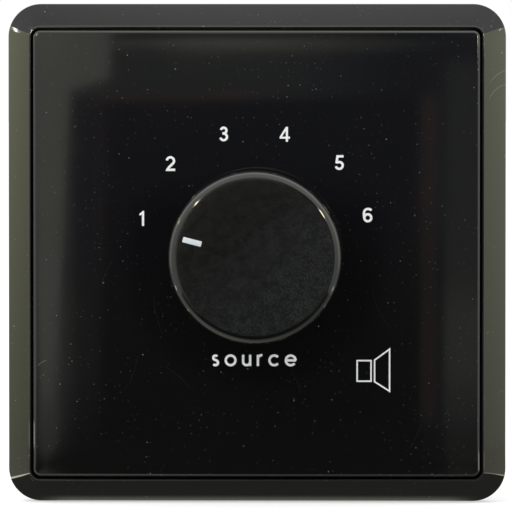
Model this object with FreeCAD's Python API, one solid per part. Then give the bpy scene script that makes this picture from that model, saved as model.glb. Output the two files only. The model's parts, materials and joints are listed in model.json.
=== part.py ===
import FreeCAD, Part
import math
import os
from FreeCAD import Vector

# Wall-mounted audio source selector: an 80 mm cover frame and a glossy centre plate over a steel mounting
# bridge, with a six-way rotary switch behind the bridge and one large knob in front.
# It is modelled lying on its back, in millimetres: X to the right, Y up the wall, Z out of the wall, with the
# wall plane and the knob's axis through the origin. save() turns each piece upright, so that in the files
# the front faces -Y and +Z is up. Angles are clock angles: degrees clockwise from the top, seen from the front.

# Cover frame
frame_side = 80.0
frame_corner_radius = 5.3
frame_lip = 2.0
frame_height = 7.4
frame_band_width = 3.85
opening_corner_radius = 1.5
opening_rim_land = 0.3
ledge_width = 2.6
ledge_thickness = 1.5
rear_land = 1.6
core_groove_width = 1.1
core_groove_depth = 2.6
core_web_width = 1.0
core_web_spacing = 18.0

# Mounting bridge
frame_reach_past_bridge = 4.5
bridge_corner_radius = 4.0
bridge_thickness = 1.2
bridge_clearance = 0.4
bridge_edge_wall = 1.2
box_slot_length = 8.6
box_slot_width = 3.8

# Centre plate
plate_gap = 0.3
plate_proud = 0.2
plate_thickness = 2.5
plate_edge_radius = 0.5
plate_skirt_wall = 1.6
plate_skirt_corner_radius = 0.8
plate_boss_radius = 9.0
plate_boss_gap = 0.3
plate_rib_width = 1.2
plate_rib_height = 1.0

# Nuts and washers on the threaded bushing
bushing_radius = 5.0
bushing_hole_clearance = 0.15
bushing_free_thread = 0.6
nut_across_flats = 12.0
nut_thickness = 2.0
nut_chamfer = 0.5
lock_washer_radius = 7.5
lock_washer_thickness = 0.6
lock_washer_teeth = 12
lock_washer_tooth_gap = 0.9
plate_washer_radius = 7.2
plate_washer_thickness = 0.5

# Rotary switch, fixed pieces
positions = 6
position_step = 30.0
poles = 2
switch_radius = 15.0
switch_front_thickness = 2.2
switch_housing_length = 7.4
switch_base_thickness = 2.0
locating_peg_radius = 1.2
locating_peg_distance = 10.4
peg_clearance = 0.15
stop_washer_radius = 8.6
stop_washer_thickness = 0.6
stop_pin_radius = 0.8
stop_pin_distance = 7.0
stop_pin_reach = 1.2
stop_pin_clearance = 0.15
detent_ridge_radius = 11.0
detent_notch_radius = 1.8
detent_notch_depth = 0.7
rivet_count = 3
rivet_radius = 0.8
rivet_head_radius = 1.4
rivet_head_height = 0.4
rivet_distance = 13.4
contact_distance = 9.0
contact_head_radius = 0.9
contact_height = 0.2
contact_pin_radius = 0.45
common_distance = 5.2
common_width = 1.2
common_sweep = 165.0

# Shaft and rotor
shaft_radius = 3.0
shaft_running_clearance = 0.04
shaft_flat_depth = 1.5
shaft_flat_lead = 0.2
shaft_length_in_knob = 10.0
ring_groove_depth = 0.5
ring_groove_gap = 0.15
retaining_ring_thickness = 0.6
retaining_ring_radius = 4.6
retaining_ring_opening = 70.0
rotor_radius = 10.0
rotor_gap = 0.3
stop_groove_width = 2.2
stop_groove_depth = 1.5
stop_groove_margin = 2.0
wiper_thickness = 0.3
wiper_width = 2.0
wiper_slot_width = 0.5
wiper_overhang = 0.7
contact_gap = 0.3
ball_radius = 1.5
ball_bore_clearance = 0.1
ball_reach_gap = 0.3
ball_bore_depth = 5.8
ball_bore_level = 3.8
spring_wire_radius = 0.18
spring_coil_radius = 1.1
spring_turns = 4
spring_seat_gap = 0.05

# Knob
knob_plate_gap = 0.8
knob_height = 15.2
knob_base_radius = 13.75
knob_side_draft = 0.2
knob_shoulder_radius = 1.35
knob_wall = 2.0
knob_front_wall = 2.6
knob_hub_radius = 5.3
knob_hub_gap = 0.4
knob_bore_clearance = 0.03
knob_bore_end_gap = 0.3
knob_hub_slot_width = 0.8
knob_hub_slot_end = 2.0
knob_rib_count = 6
knob_rib_width = 1.0
knob_rib_length = 3.0
clip_thickness = 0.5
clip_width = 4.0
clip_offset = 1.0
clip_opening = 40.0
pointer_length = 3.05
pointer_width = 0.87
pointer_depth = 0.5
pointer_proud = 0.05
pointer_edge_gap = 0.45

# Circuit board and its carriers
board_side = 44.0
board_corner_cut = 8.6
board_thickness = 1.6
board_gap = 1.8
board_pin_clearance = 0.1
pin_stick_out = 0.8
solder_radius = 0.9
solder_height = 0.6
solder_tip_wall = 0.1
standoff_radius = 2.7
standoff_switch_gap = 1.0
standoff_shank_radius = 2.05
standoff_shank_clearance = 0.05
standoff_bore_depth = 7.0
board_screw_radius = 1.5
board_screw_length = 5.0
board_screw_clearance = 0.1
board_screw_head_radius = 2.75
board_screw_head_height = 2.0
screw_recess_width = 0.7
screw_recess_depth = 0.9

# Terminal blocks
terminal_ways = 7
terminal_pitch = 5.0
terminal_row_distance = 13.8
terminal_block_width = 8.0
terminal_block_height = 10.0
terminal_block_chamfer = 0.8
wire_entry_width = 3.8
wire_entry_height = 3.6
wire_entry_floor = 2.6
wire_entry_depth = 6.5
clamp_gap = 0.1
clamp_wall = 0.5
clamp_length = 5.0
clamp_setback = 1.0
terminal_pin_radius = 0.5
terminal_screw_radius = 1.2
terminal_screw_reach = 0.6
terminal_screw_gap = 1.5
terminal_screw_head_radius = 1.75
terminal_screw_head_height = 1.8
terminal_well_clearance = 0.15
terminal_slot_width = 0.6
terminal_slot_depth = 0.8

# Levels out of the wall
ledge_top = bridge_thickness + ledge_thickness
plate_front = frame_height + plate_proud
plate_back = plate_front - plate_thickness
lock_washer_front = bridge_thickness + lock_washer_thickness
bushing_nut_front = lock_washer_front + nut_thickness
plate_washer_front = plate_front + plate_washer_thickness
plate_nut_front = plate_washer_front + nut_thickness
bushing_front = plate_nut_front + bushing_free_thread
ring_back = bushing_front + ring_groove_gap
ring_front = ring_back + retaining_ring_thickness
knob_back = plate_front + knob_plate_gap
knob_front = knob_back + knob_height
hub_back = ring_front + knob_hub_gap
shaft_front = hub_back + shaft_length_in_knob

# Levels behind the wall
switch_face = -stop_washer_thickness
housing_front = switch_face - switch_front_thickness
base_front = housing_front - switch_housing_length
base_back = base_front - switch_base_thickness
contact_face = base_front + contact_height
wiper_back = contact_face + contact_gap
rotor_back = wiper_back + wiper_thickness
rotor_front = housing_front - rotor_gap
board_front = base_back - board_gap
board_back = board_front - board_thickness

# Sizes that several pieces share
opening_side = frame_side - 2 * frame_band_width
bridge_side = frame_side - 2 * frame_reach_past_bridge
box_screw_spacing = bridge_side - box_slot_length - 2 * bridge_edge_wall
plate_side = opening_side - 2 * plate_gap
plate_corner_radius = opening_corner_radius - plate_gap
bushing_hole_radius = bushing_radius + bushing_hole_clearance
shaft_bore_radius = shaft_radius + shaft_running_clearance
ball_distance = detent_ridge_radius - ball_reach_gap - ball_radius
ball_bore_radius = ball_radius + ball_bore_clearance
ball_level = rotor_front - ball_bore_level
standoff_distance = switch_radius + standoff_switch_gap + standoff_radius
knob_top_radius = knob_base_radius - knob_side_draft
sweep = (positions - 1) * position_step
first_position = -sweep / 2
axis = Vector(0, 0, 1)
centre = Vector(0, 0, 0)
overcut = 0.5


def disc(radius, low, high, x=0.0, y=0.0):
    """Cylinder along Z between two levels."""
    return Part.makeCylinder(radius, high - low, Vector(x, y, low))


def ring(outer, inner, low, high):
    """Flat ring round the knob's axis. The inner cut runs past both faces."""
    return disc(outer, low, high).cut(disc(inner, low - overcut, high + overcut))


def block(width, depth, low, high, x=0.0, y=0.0):
    """Box centred on x and y, between two levels."""
    return Part.makeBox(width, depth, high - low, Vector(x - width / 2, y - depth / 2, low))


def clock(angle, distance):
    """Point at a clock angle and a distance from the axis."""
    turn = math.radians(angle)
    return distance * math.sin(turn), distance * math.cos(turn)


def turned(shape, angle):
    """Copy of a shape turned clockwise about the knob's axis."""
    copy = shape.copy()
    copy.rotate(centre, axis, -angle)
    return copy


def rounded_square(side, radius, level):
    """Closed wire of a square with round corners."""
    half = side / 2
    flat = half - radius
    bend = flat + radius * math.sqrt(0.5)
    edges = []
    for quarter in range(4):
        straight = Part.LineSegment(Vector(half, -flat, level), Vector(half, flat, level)).toShape()
        corner = Part.Arc(Vector(half, flat, level), Vector(bend, bend, level), Vector(flat, half, level))
        for edge in (straight, corner.toShape()):
            edge.rotate(centre, axis, 90 * quarter)
            edges.append(edge)
    return Part.Wire(edges)


def rounded_slab(side, radius, low, high):
    """Square slab with round corners, between two levels."""
    return Part.Face(rounded_square(side, radius, low)).extrude(Vector(0, 0, high - low))


def sector(radius, low, high, start, end):
    """Pie slice from one clock angle to another, for cutting gaps and arcs."""
    slice_ = Part.makeCylinder(radius, high - low, Vector(0, 0, low), axis, end - start)
    slice_.rotate(centre, axis, 90 - end)
    return slice_


def hex_nut(low, high):
    """Nut on the bushing, with both faces chamfered to a round."""
    tip = nut_across_flats / math.sqrt(3)
    corners = [Vector(*clock(60 * side, tip), low) for side in range(7)]
    nut = Part.Face(Part.makePolygon(corners)).extrude(Vector(0, 0, high - low))
    round_limit = disc(tip, low, high)
    round_limit = round_limit.makeChamfer(nut_chamfer, [e for e in round_limit.Edges if e.Closed])
    return nut.common(round_limit).cut(disc(bushing_radius, low - overcut, high + overcut))


def position_angle(pole, position):
    """Clock angle of a switch position. Each pole has half of the circle."""
    return first_position + position * position_step + pole * 360.0 / poles


def save(name, pieces):
    """Turn a piece, or a group of like pieces, upright and write it."""
    solids = [solid for piece in pieces for solid in piece.Solids]
    shape = solids[0] if len(solids) == 1 else Part.makeCompound(solids)
    shape = shape.copy()
    shape.rotate(centre, Vector(1, 0, 0), 90)
    if not shape.isValid():
        raise ValueError(name + " is not a valid solid")
    shape.exportStep("parts/" + name + ".step")
    print(name, len(solids), round(shape.Volume, 1))


def cover_frame():
    """Outer frame: straight lip, sloped band, and a ledge that the centre plate traps."""
    slope_side = opening_side + 2 * opening_rim_land
    slope_corner = opening_corner_radius + opening_rim_land
    band = Part.makeLoft([rounded_square(frame_side, frame_corner_radius, frame_lip),
                          rounded_square(slope_side, slope_corner, frame_height)], True, True)
    body = rounded_slab(frame_side, frame_corner_radius, 0, frame_lip).fuse(band)
    opening = rounded_slab(opening_side, opening_corner_radius, ledge_top, frame_height + overcut)
    recess_side = bridge_side + 2 * bridge_clearance
    recess = rounded_slab(recess_side, bridge_corner_radius, -overcut, bridge_thickness)
    window_side = opening_side - 2 * ledge_width
    window = rounded_slab(window_side, opening_corner_radius, 0, frame_height)
    body = body.cut(opening).cut(recess).cut(window)
    return body.cut(core_groove()).removeSplitter()


def core_groove():
    """Groove in the frame's back, which keeps its wall even, crossed by short webs."""
    outer_side = frame_side - 2 * rear_land
    inner_side = outer_side - 2 * core_groove_width
    corner = frame_corner_radius - rear_land
    groove = rounded_slab(outer_side, corner, -overcut, core_groove_depth)
    core = rounded_slab(inner_side, corner - core_groove_width, -2 * overcut, core_groove_depth + overcut)
    groove = groove.cut(core)
    for step in (-1, 0, 1):
        for quarter in range(4):
            web = block(core_web_width, frame_side, -2 * overcut, core_groove_depth + overcut,
                        step * core_web_spacing, frame_side / 2)
            groove = groove.cut(turned(web, 90 * quarter))
    return groove


def centre_plate():
    """Front plate with a skirt that stands on the frame's ledge, and a boss round the bushing."""
    body = rounded_slab(plate_side, plate_corner_radius, ledge_top, plate_front)
    front_edges = [e for e in body.Edges if min(v.Z for v in e.Vertexes) > plate_front - 0.001]
    body = body.makeFillet(min(plate_edge_radius, 0.8 * plate_corner_radius), front_edges)
    inside = plate_side - 2 * plate_skirt_wall
    body = body.cut(rounded_slab(inside, plate_skirt_corner_radius, ledge_top - overcut, plate_back))
    boss_back = bushing_nut_front + plate_boss_gap
    body = body.fuse(disc(plate_boss_radius, boss_back, plate_back + overcut))
    rib_back = plate_back - plate_rib_height
    for quarter in range(4):
        rib = block(plate_rib_width, inside / 2, rib_back, plate_back + overcut, 0, inside / 4)
        body = body.fuse(turned(rib, 90 * quarter))
    hole = disc(bushing_hole_radius, boss_back - overcut, plate_front + overcut)
    return body.cut(hole).removeSplitter()


def mounting_bridge():
    """Steel bridge that is screwed to a flush box and carries everything else."""
    body = rounded_slab(bridge_side, bridge_corner_radius, 0, bridge_thickness)
    top = bridge_thickness + overcut
    body = body.cut(disc(bushing_hole_radius, -overcut, top))
    body = body.cut(disc(locating_peg_radius + peg_clearance, -overcut, top, 0, -locating_peg_distance))
    end = (box_slot_length - box_slot_width) / 2
    for quarter in range(4):
        slot = block(2 * end, box_slot_width, -overcut, top, box_screw_spacing / 2, 0)
        for side in (-1, 1):
            slot = slot.fuse(disc(box_slot_width / 2, -overcut, top, box_screw_spacing / 2 + side * end))
        body = body.cut(turned(slot, 90 * quarter))
    standoff_hole_radius = standoff_shank_radius + standoff_shank_clearance
    for side in (-1, 1):
        body = body.cut(disc(standoff_hole_radius, -overcut, top, side * standoff_distance))
    return body


def bushing_lock_washer():
    """Lock washer with inner teeth, between the bridge and the switch's own nut."""
    washer = ring(lock_washer_radius, bushing_radius, bridge_thickness, lock_washer_front)
    gap_depth = (lock_washer_radius - bushing_radius) / 2
    for tooth in range(lock_washer_teeth):
        gap = block(lock_washer_tooth_gap, gap_depth + overcut, bridge_thickness - overcut,
                    lock_washer_front + overcut, 0, bushing_radius + gap_depth / 2 - overcut / 2)
        washer = washer.cut(turned(gap, tooth * 360.0 / lock_washer_teeth))
    return washer


def switch_bushing():
    """Front of the switch: flange, threaded bushing, locating peg and the hole for the stop pin."""
    body = disc(switch_radius, housing_front, switch_face)
    body = body.fuse(disc(bushing_radius, switch_face - overcut, bushing_front))
    peg = disc(locating_peg_radius, switch_face - overcut, bridge_thickness, 0, -locating_peg_distance)
    body = body.fuse(peg)
    body = body.cut(disc(shaft_bore_radius, housing_front - overcut, bushing_front + overcut))
    x, y = clock(0, stop_pin_distance)
    pin_hole_radius = stop_pin_radius + stop_pin_clearance
    body = body.cut(disc(pin_hole_radius, housing_front - overcut, switch_face + overcut, x, y))
    return cut_rivet_holes(body, housing_front, switch_face)


def switch_stop_washer():
    """Washer whose pin runs in the rotor's groove and so limits the turn."""
    washer = ring(stop_washer_radius, bushing_hole_radius, switch_face, 0)
    x, y = clock(0, stop_pin_distance)
    pin_back = housing_front - rotor_gap - stop_pin_reach
    return washer.fuse(disc(stop_pin_radius, pin_back, switch_face + overcut / 2, x, y))


def switch_housing():
    """Ring between the flange and the base, with a notch at each detent."""
    body = ring(switch_radius, detent_ridge_radius, base_front, housing_front)
    notch_centre = detent_ridge_radius + detent_notch_depth - detent_notch_radius
    for notch in range(round(360 / position_step)):
        x, y = clock(first_position + notch * position_step, notch_centre)
        body = body.cut(disc(detent_notch_radius, base_front - overcut, housing_front + overcut, x, y))
    return cut_rivet_holes(body, base_front, housing_front)


def cut_rivet_holes(body, low, high):
    """The rivets' holes through one layer of the switch."""
    for rivet in range(rivet_count):
        x, y = clock(rivet * 360.0 / rivet_count, rivet_distance)
        body = body.cut(disc(rivet_radius, low - overcut, high + overcut, x, y))
    return body


def housing_rivets():
    """Long rivets that hold the switch together."""
    rivets = []
    for rivet in range(rivet_count):
        x, y = clock(rivet * 360.0 / rivet_count, rivet_distance)
        shank = disc(rivet_radius, base_back, switch_face, x, y)
        front_head = disc(rivet_head_radius, switch_face, switch_face + rivet_head_height, x, y)
        back_head = disc(rivet_head_radius, base_back - rivet_head_height, base_back, x, y)
        rivets.append(shank.fuse([front_head, back_head]))
    return rivets


def switch_pins():
    """Places of all the switch's pins: the outer ones, then each pole's common one."""
    outer = [clock(position_angle(pole, position), contact_distance)
             for pole in range(poles) for position in range(positions)]
    inner = [clock(first_position + sweep / 2 + pole * 360.0 / poles, common_distance)
             for pole in range(poles)]
    return outer, inner


def switch_base():
    """Insulating base that holds the contacts."""
    body = disc(switch_radius, base_back, base_front)
    outer, inner = switch_pins()
    for x, y in outer + inner:
        body = body.cut(disc(contact_pin_radius, base_back - overcut, base_front + overcut, x, y))
    return cut_rivet_holes(body, base_back, base_front)


def contact_pin(x, y):
    """Pin from the base's front, through the circuit board."""
    return disc(contact_pin_radius, board_back - pin_stick_out, base_front, x, y)


def fixed_contacts():
    """One riveted contact for each position of each pole."""
    return [contact_pin(x, y).fuse(disc(contact_head_radius, base_front, contact_face, x, y))
            for x, y in switch_pins()[0]]


def common_contacts():
    """One arc for each pole, which its wiper touches at every position."""
    contacts = []
    outer_radius = common_distance + common_width / 2
    inner_radius = common_distance - common_width / 2
    middle = first_position + sweep / 2
    for pole, (x, y) in enumerate(switch_pins()[1]):
        mid = middle + pole * 360.0 / poles
        arc = sector(outer_radius, base_front, contact_face, mid - common_sweep / 2, mid + common_sweep / 2)
        arc = arc.cut(disc(inner_radius, base_front - overcut, contact_face + overcut))
        contacts.append(arc.fuse(contact_pin(x, y)))
    return contacts


def switch_shaft():
    """Steel shaft with a groove for its retaining ring and a flat for the knob."""
    body = disc(shaft_radius, rotor_back, shaft_front)
    body = body.cut(ring(shaft_radius + overcut, shaft_radius - ring_groove_depth, ring_back, ring_front))
    flat = block(4 * shaft_radius, shaft_flat_depth + overcut, hub_back - shaft_flat_lead,
                 shaft_front + overcut, 0, shaft_radius - shaft_flat_depth / 2 + overcut / 2)
    return body.cut(turned(flat, first_position))


def shaft_retaining_ring():
    """Open ring in the shaft's groove, in front of the bushing."""
    body = ring(retaining_ring_radius, shaft_radius - ring_groove_depth, ring_back, ring_front)
    half = retaining_ring_opening / 2
    return body.cut(sector(2 * retaining_ring_radius, ring_back - overcut, ring_front + overcut, -half, half))


def switch_rotor():
    """Rotor on the shaft's end, with two ball bores and the stop groove in its front."""
    body = ring(rotor_radius, shaft_radius, rotor_back, rotor_front)
    for side in range(2):
        body = body.cut(radial_bore(first_position + 180 * side))
    return body.cut(stop_groove())


def radial_bore(angle):
    """Bore for one detent ball and its spring, from the rotor's rim inwards."""
    bore = Part.makeCylinder(ball_bore_radius, ball_bore_depth + overcut,
                             Vector(0, rotor_radius - ball_bore_depth, ball_level), Vector(0, 1, 0))
    return turned(bore, angle)


def stop_groove():
    """Arc in the rotor's front that the stop pin runs in. The pin is at 12 o'clock, and starts at its end."""
    width = stop_groove_width / 2
    low = rotor_front - stop_groove_depth
    high = rotor_front + overcut
    arc = ring(stop_pin_distance + width, stop_pin_distance - width, low, high)
    start = -sweep - stop_groove_margin
    arc = arc.common(sector(2 * stop_pin_distance, low, high, start, stop_groove_margin))
    for end in (start, stop_groove_margin):
        x, y = clock(end, stop_pin_distance)
        arc = arc.fuse(disc(width, low, high, x, y))
    return arc


def wiper_contacts():
    """One forked leaf for each pole, from its common arc to its fixed contacts."""
    inner = common_distance - common_width / 2
    length = contact_distance + wiper_overhang - inner
    middle = inner + length / 2
    leaves = []
    for pole in range(poles):
        leaf = block(wiper_width, length, wiper_back, rotor_back, 0, middle)
        fork = block(wiper_slot_width, length / 2, wiper_back - overcut, rotor_back + overcut,
                     0, inner + length * 0.75 + overcut / 2)
        leaves.append(turned(leaf.cut(fork), position_angle(pole, 0)))
    return leaves


def detent_balls():
    """Steel balls that click into the housing's notches."""
    return [Part.makeSphere(ball_radius, Vector(*clock(first_position + 180 * side, ball_distance), ball_level))
            for side in range(2)]


def detent_springs():
    """Coil springs behind the balls: quarter turns as arcs, swept with a round wire."""
    start = rotor_radius - ball_bore_depth + spring_wire_radius + spring_seat_gap
    touch = math.sqrt((ball_radius + spring_wire_radius) ** 2 - spring_coil_radius ** 2)
    end = ball_distance - touch - spring_seat_gap
    steps = 4 * spring_turns
    rise = (end - start) / steps

    def on_coil(step):
        turn = math.radians(90 * step)
        return Vector(spring_coil_radius * math.sin(turn), start + rise * step,
                      spring_coil_radius * math.cos(turn))

    arcs = [Part.Arc(on_coil(step), on_coil(step + 0.5), on_coil(step + 1)).toShape()
            for step in range(steps)]
    path = Part.Wire(arcs)
    section = Part.Wire([Part.Circle(on_coil(0), arcs[0].tangentAt(arcs[0].FirstParameter),
                                     spring_wire_radius).toShape()])
    spring = path.makePipeShell([section], True, False)
    gap = (end - start) / spring_turns - 2 * spring_wire_radius
    print("detent spring: least gap between turns", round(gap, 2))
    spring.translate(Vector(0, 0, ball_level))
    return [turned(spring, first_position + 180 * side) for side in range(2)]


def knob_cap():
    """Hollow knob with a split hub for the shaft and a slot for the pointer."""
    body = Part.makeCone(knob_base_radius, knob_top_radius, knob_height, Vector(0, 0, knob_back))
    rim = [e for e in body.Edges if e.Closed and e.Vertexes[0].Z > knob_front - 0.001]
    body = body.makeFillet(knob_shoulder_radius, rim)
    ceiling = knob_front - knob_front_wall
    body = body.cut(disc(knob_top_radius - knob_wall, knob_back - overcut, ceiling))
    body = body.fuse(disc(knob_hub_radius, hub_back, ceiling + overcut))
    rib_reach = knob_top_radius - knob_wall / 2
    for rib in range(knob_rib_count):
        web = block(knob_rib_width, rib_reach, ceiling - knob_rib_length, ceiling + overcut, 0, rib_reach / 2)
        body = body.fuse(turned(web, first_position + (rib + 0.5) * 360.0 / knob_rib_count))
    body = body.cut(shaft_socket())
    slot = block(2 * knob_hub_radius + overcut, knob_hub_slot_width, hub_back - overcut,
                 ceiling - knob_rib_length - knob_hub_slot_end)
    body = body.cut(turned(slot, first_position))
    return body.cut(pointer_bar(0)).removeSplitter()


def shaft_socket():
    """Blind bore in the knob's hub, with the shaft's flat."""
    radius = shaft_radius + knob_bore_clearance
    end = shaft_front + knob_bore_end_gap
    socket = disc(radius, hub_back - overcut, end)
    flat_at = shaft_radius - shaft_flat_depth + knob_bore_clearance
    flat = block(4 * radius, radius, hub_back - 2 * overcut, end + overcut, 0, flat_at + radius / 2)
    return socket.cut(turned(flat, first_position))


def pointer_bar(proud):
    """White bar let into the knob's face, on the side of the first position."""
    outer_end = knob_top_radius - knob_shoulder_radius - pointer_edge_gap
    bar = block(pointer_width, pointer_length, knob_front - pointer_depth, knob_front + max(proud, 0.0),
                0, outer_end - pointer_length / 2)
    return turned(bar, first_position)


def knob_spring_clip():
    """Open spring ring that closes the knob's split hub on the shaft."""
    low = hub_back + clip_offset
    high = low + clip_width
    body = ring(knob_hub_radius + clip_thickness, knob_hub_radius, low, high)
    cut_radius = 2 * knob_hub_radius
    half = clip_opening / 2
    gap = sector(cut_radius, low - overcut, high + overcut, first_position - half, first_position + half)
    return body.cut(gap)


def circuit_board():
    """Eight-sided board that joins the switch's pins to the terminals, small enough for a round box."""
    half = board_side / 2
    straight = half - board_corner_cut
    corners = [(half, -straight), (half, straight), (straight, half), (-straight, half),
               (-half, straight), (-half, -straight), (-straight, -half), (straight, -half)]
    corners = [Vector(x, y, board_back) for x, y in corners + corners[:1]]
    body = Part.Face(Part.makePolygon(corners)).extrude(Vector(0, 0, board_thickness))
    outer, inner = switch_pins()
    holes = [(x, y, contact_pin_radius + board_pin_clearance) for x, y in outer + inner]
    holes += [(x, y, terminal_pin_radius + board_pin_clearance) for x, y in terminal_places()]
    holes += [(side * standoff_distance, 0, board_screw_radius + board_screw_clearance) for side in (-1, 1)]
    for x, y, radius in holes:
        body = body.cut(disc(radius, board_back - overcut, board_front + overcut, x, y))
    return body


def board_standoffs():
    """Threaded pillars pressed into the bridge."""
    pillars = []
    for side in (-1, 1):
        x = side * standoff_distance
        pillar = disc(standoff_radius, board_front, 0, x)
        pillar = pillar.fuse(disc(standoff_shank_radius, -overcut, bridge_thickness, x))
        bore = disc(board_screw_radius, board_front - overcut, board_front + standoff_bore_depth, x)
        pillars.append(pillar.cut(bore).removeSplitter())
    return pillars


def board_screws():
    """Cross-head screws that hold the board to its pillars."""
    screws = []
    head_back = board_back - board_screw_head_height
    for side in (-1, 1):
        x = side * standoff_distance
        head = disc(board_screw_head_radius, head_back, board_back, x)
        head = head.makeFillet(board_screw_head_height * 0.45,
                               [e for e in head.Edges if e.Closed and e.Vertexes[0].Z < head_back + 0.001])
        screw = head.fuse(disc(board_screw_radius, board_back, board_back + board_screw_length, x))
        long = board_screw_head_radius * 1.2
        for width, depth in ((long, screw_recess_width), (screw_recess_width, long)):
            screw = screw.cut(block(width, depth, head_back - overcut, head_back + screw_recess_depth, x))
        screws.append(screw)
    return screws


def terminal_places():
    """Centre of each terminal: an upper and a lower row."""
    middle = (terminal_ways - 1) / 2
    return [((way - middle) * terminal_pitch, row * terminal_row_distance)
            for row in (1, -1) for way in range(terminal_ways)]


def facing_out(shape, y):
    """Terminal features are made for the upper row, whose wires come from above; the lower row is turned."""
    return shape if y > 0 else turned(shape, 180)


def behind_board(depth):
    """Level at a depth behind the circuit board."""
    return board_back - depth


def terminal_block(row):
    """Insulating block with a wire entry and a screw well for each way."""
    y = row * terminal_row_distance
    length = terminal_ways * terminal_pitch
    body = block(length, terminal_block_width, behind_board(terminal_block_height), board_back, 0, y)
    back_edges = [e for e in body.Edges if max(v.Z for v in e.Vertexes) < behind_board(0) - 1
                  and abs(e.Vertexes[0].X - e.Vertexes[1].X) > 1]
    body = body.makeChamfer(terminal_block_chamfer, back_edges)
    entry_low = behind_board(wire_entry_floor + wire_entry_height)
    entry_high = behind_board(wire_entry_floor)
    for x, place in terminal_places():
        if place * row < 0:
            continue
        outer = terminal_row_distance + terminal_block_width / 2
        entry = block(wire_entry_width, wire_entry_depth + overcut, entry_low, entry_high,
                      x * row, outer - wire_entry_depth / 2 + overcut / 2)
        body = body.cut(facing_out(entry, y))
        well = terminal_screw_head_radius + terminal_well_clearance
        body = body.cut(disc(well, behind_board(terminal_block_height) - overcut, entry_low, x, y))
        body = body.cut(disc(terminal_pin_radius, entry_high - overcut, board_back + overcut, x, y))
    return body


def terminal_clamps():
    """Metal cages in the wire entries."""
    clamps = []
    low = behind_board(wire_entry_floor + wire_entry_height - clamp_gap)
    high = behind_board(wire_entry_floor + clamp_gap)
    width = wire_entry_width - 2 * clamp_gap
    outer = terminal_row_distance + terminal_block_width / 2 - clamp_setback
    for x, y in terminal_places():
        row = 1 if y > 0 else -1
        cage = block(width, clamp_length, low, high, x * row, outer - clamp_length / 2)
        window = block(width - 2 * clamp_wall, clamp_length + overcut, low + clamp_wall, high - clamp_wall,
                       x * row, outer - clamp_length / 2)
        cage = facing_out(cage.cut(window), y)
        clamps.append(cage.cut(disc(terminal_screw_radius, low - overcut, low + clamp_wall + clamp_gap, x, y)))
    return clamps


def terminal_screws():
    """Slotted screws that press the wires into the cages."""
    screws = []
    tip = behind_board(wire_entry_floor + wire_entry_height - clamp_gap - clamp_wall - terminal_screw_reach)
    head_front = behind_board(wire_entry_floor + wire_entry_height + terminal_screw_gap)
    head_back = head_front - terminal_screw_head_height
    for x, y in terminal_places():
        head = disc(terminal_screw_head_radius, head_back, head_front, x, y)
        slot = block(3 * terminal_screw_head_radius, terminal_slot_width, head_back - overcut,
                     head_back + terminal_slot_depth, x, y)
        head = head.cut(slot)
        screws.append(head.fuse(disc(terminal_screw_radius, head_front, tip, x, y)))
    return screws


def terminal_pins():
    """Pins from the cages through the circuit board."""
    low = behind_board(wire_entry_floor + clamp_gap)
    return [disc(terminal_pin_radius, low, board_front + pin_stick_out, x, y) for x, y in terminal_places()]


def solder_joints():
    """Solder round every pin: behind the board for the switch, in front of it for the terminals."""
    joints = []
    reach = solder_height + overcut
    outer, inner = switch_pins()
    for x, y in outer + inner:
        cone = Part.makeCone(solder_radius, contact_pin_radius + solder_tip_wall, solder_height,
                             Vector(x, y, board_back), Vector(0, 0, -1))
        joints.append(cone.cut(disc(contact_pin_radius, board_back - reach, board_back + overcut, x, y)))
    for x, y in terminal_places():
        cone = Part.makeCone(solder_radius, terminal_pin_radius + solder_tip_wall, solder_height,
                             Vector(x, y, board_front))
        joints.append(cone.cut(disc(terminal_pin_radius, board_front - overcut, board_front + reach, x, y)))
    return joints


def main():
    os.makedirs("parts", exist_ok=True)
    save("cover_frame", [cover_frame()])
    save("centre_plate", [centre_plate()])
    save("mounting_bridge", [mounting_bridge()])
    save("bushing_lock_washer", [bushing_lock_washer()])
    save("bushing_nut", [hex_nut(lock_washer_front, bushing_nut_front)])
    save("plate_washer", [ring(plate_washer_radius, bushing_hole_radius, plate_front, plate_washer_front)])
    save("plate_nut", [hex_nut(plate_washer_front, plate_nut_front)])
    save("switch_bushing", [switch_bushing()])
    save("switch_stop_washer", [switch_stop_washer()])
    save("switch_housing", [switch_housing()])
    save("switch_base", [switch_base()])
    save("housing_rivets", housing_rivets())
    save("fixed_contacts", fixed_contacts())
    save("common_contacts", common_contacts())
    save("circuit_board", [circuit_board()])
    save("board_standoffs", board_standoffs())
    save("board_screws", board_screws())
    save("terminal_block_upper", [terminal_block(1)])
    save("terminal_block_lower", [terminal_block(-1)])
    save("terminal_clamps", terminal_clamps())
    save("terminal_screws", terminal_screws())
    save("terminal_pins", terminal_pins())
    save("solder_joints", solder_joints())
    save("knob_cap", [knob_cap()])
    save("knob_pointer", [pointer_bar(pointer_proud)])
    save("knob_spring_clip", [knob_spring_clip()])
    save("switch_shaft", [switch_shaft()])
    save("shaft_retaining_ring", [shaft_retaining_ring()])
    save("switch_rotor", [switch_rotor()])
    save("wiper_contacts", wiper_contacts())
    save("detent_balls", detent_balls())
    save("detent_springs", detent_springs())


main()
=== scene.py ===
import json
import math
from functools import cache

import bmesh
import bpy
from bpy.props import FloatProperty, FloatVectorProperty, IntProperty, PointerProperty
from mathutils import Matrix, Vector
from mathutils.geometry import delaunay_2d_cdt


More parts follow.
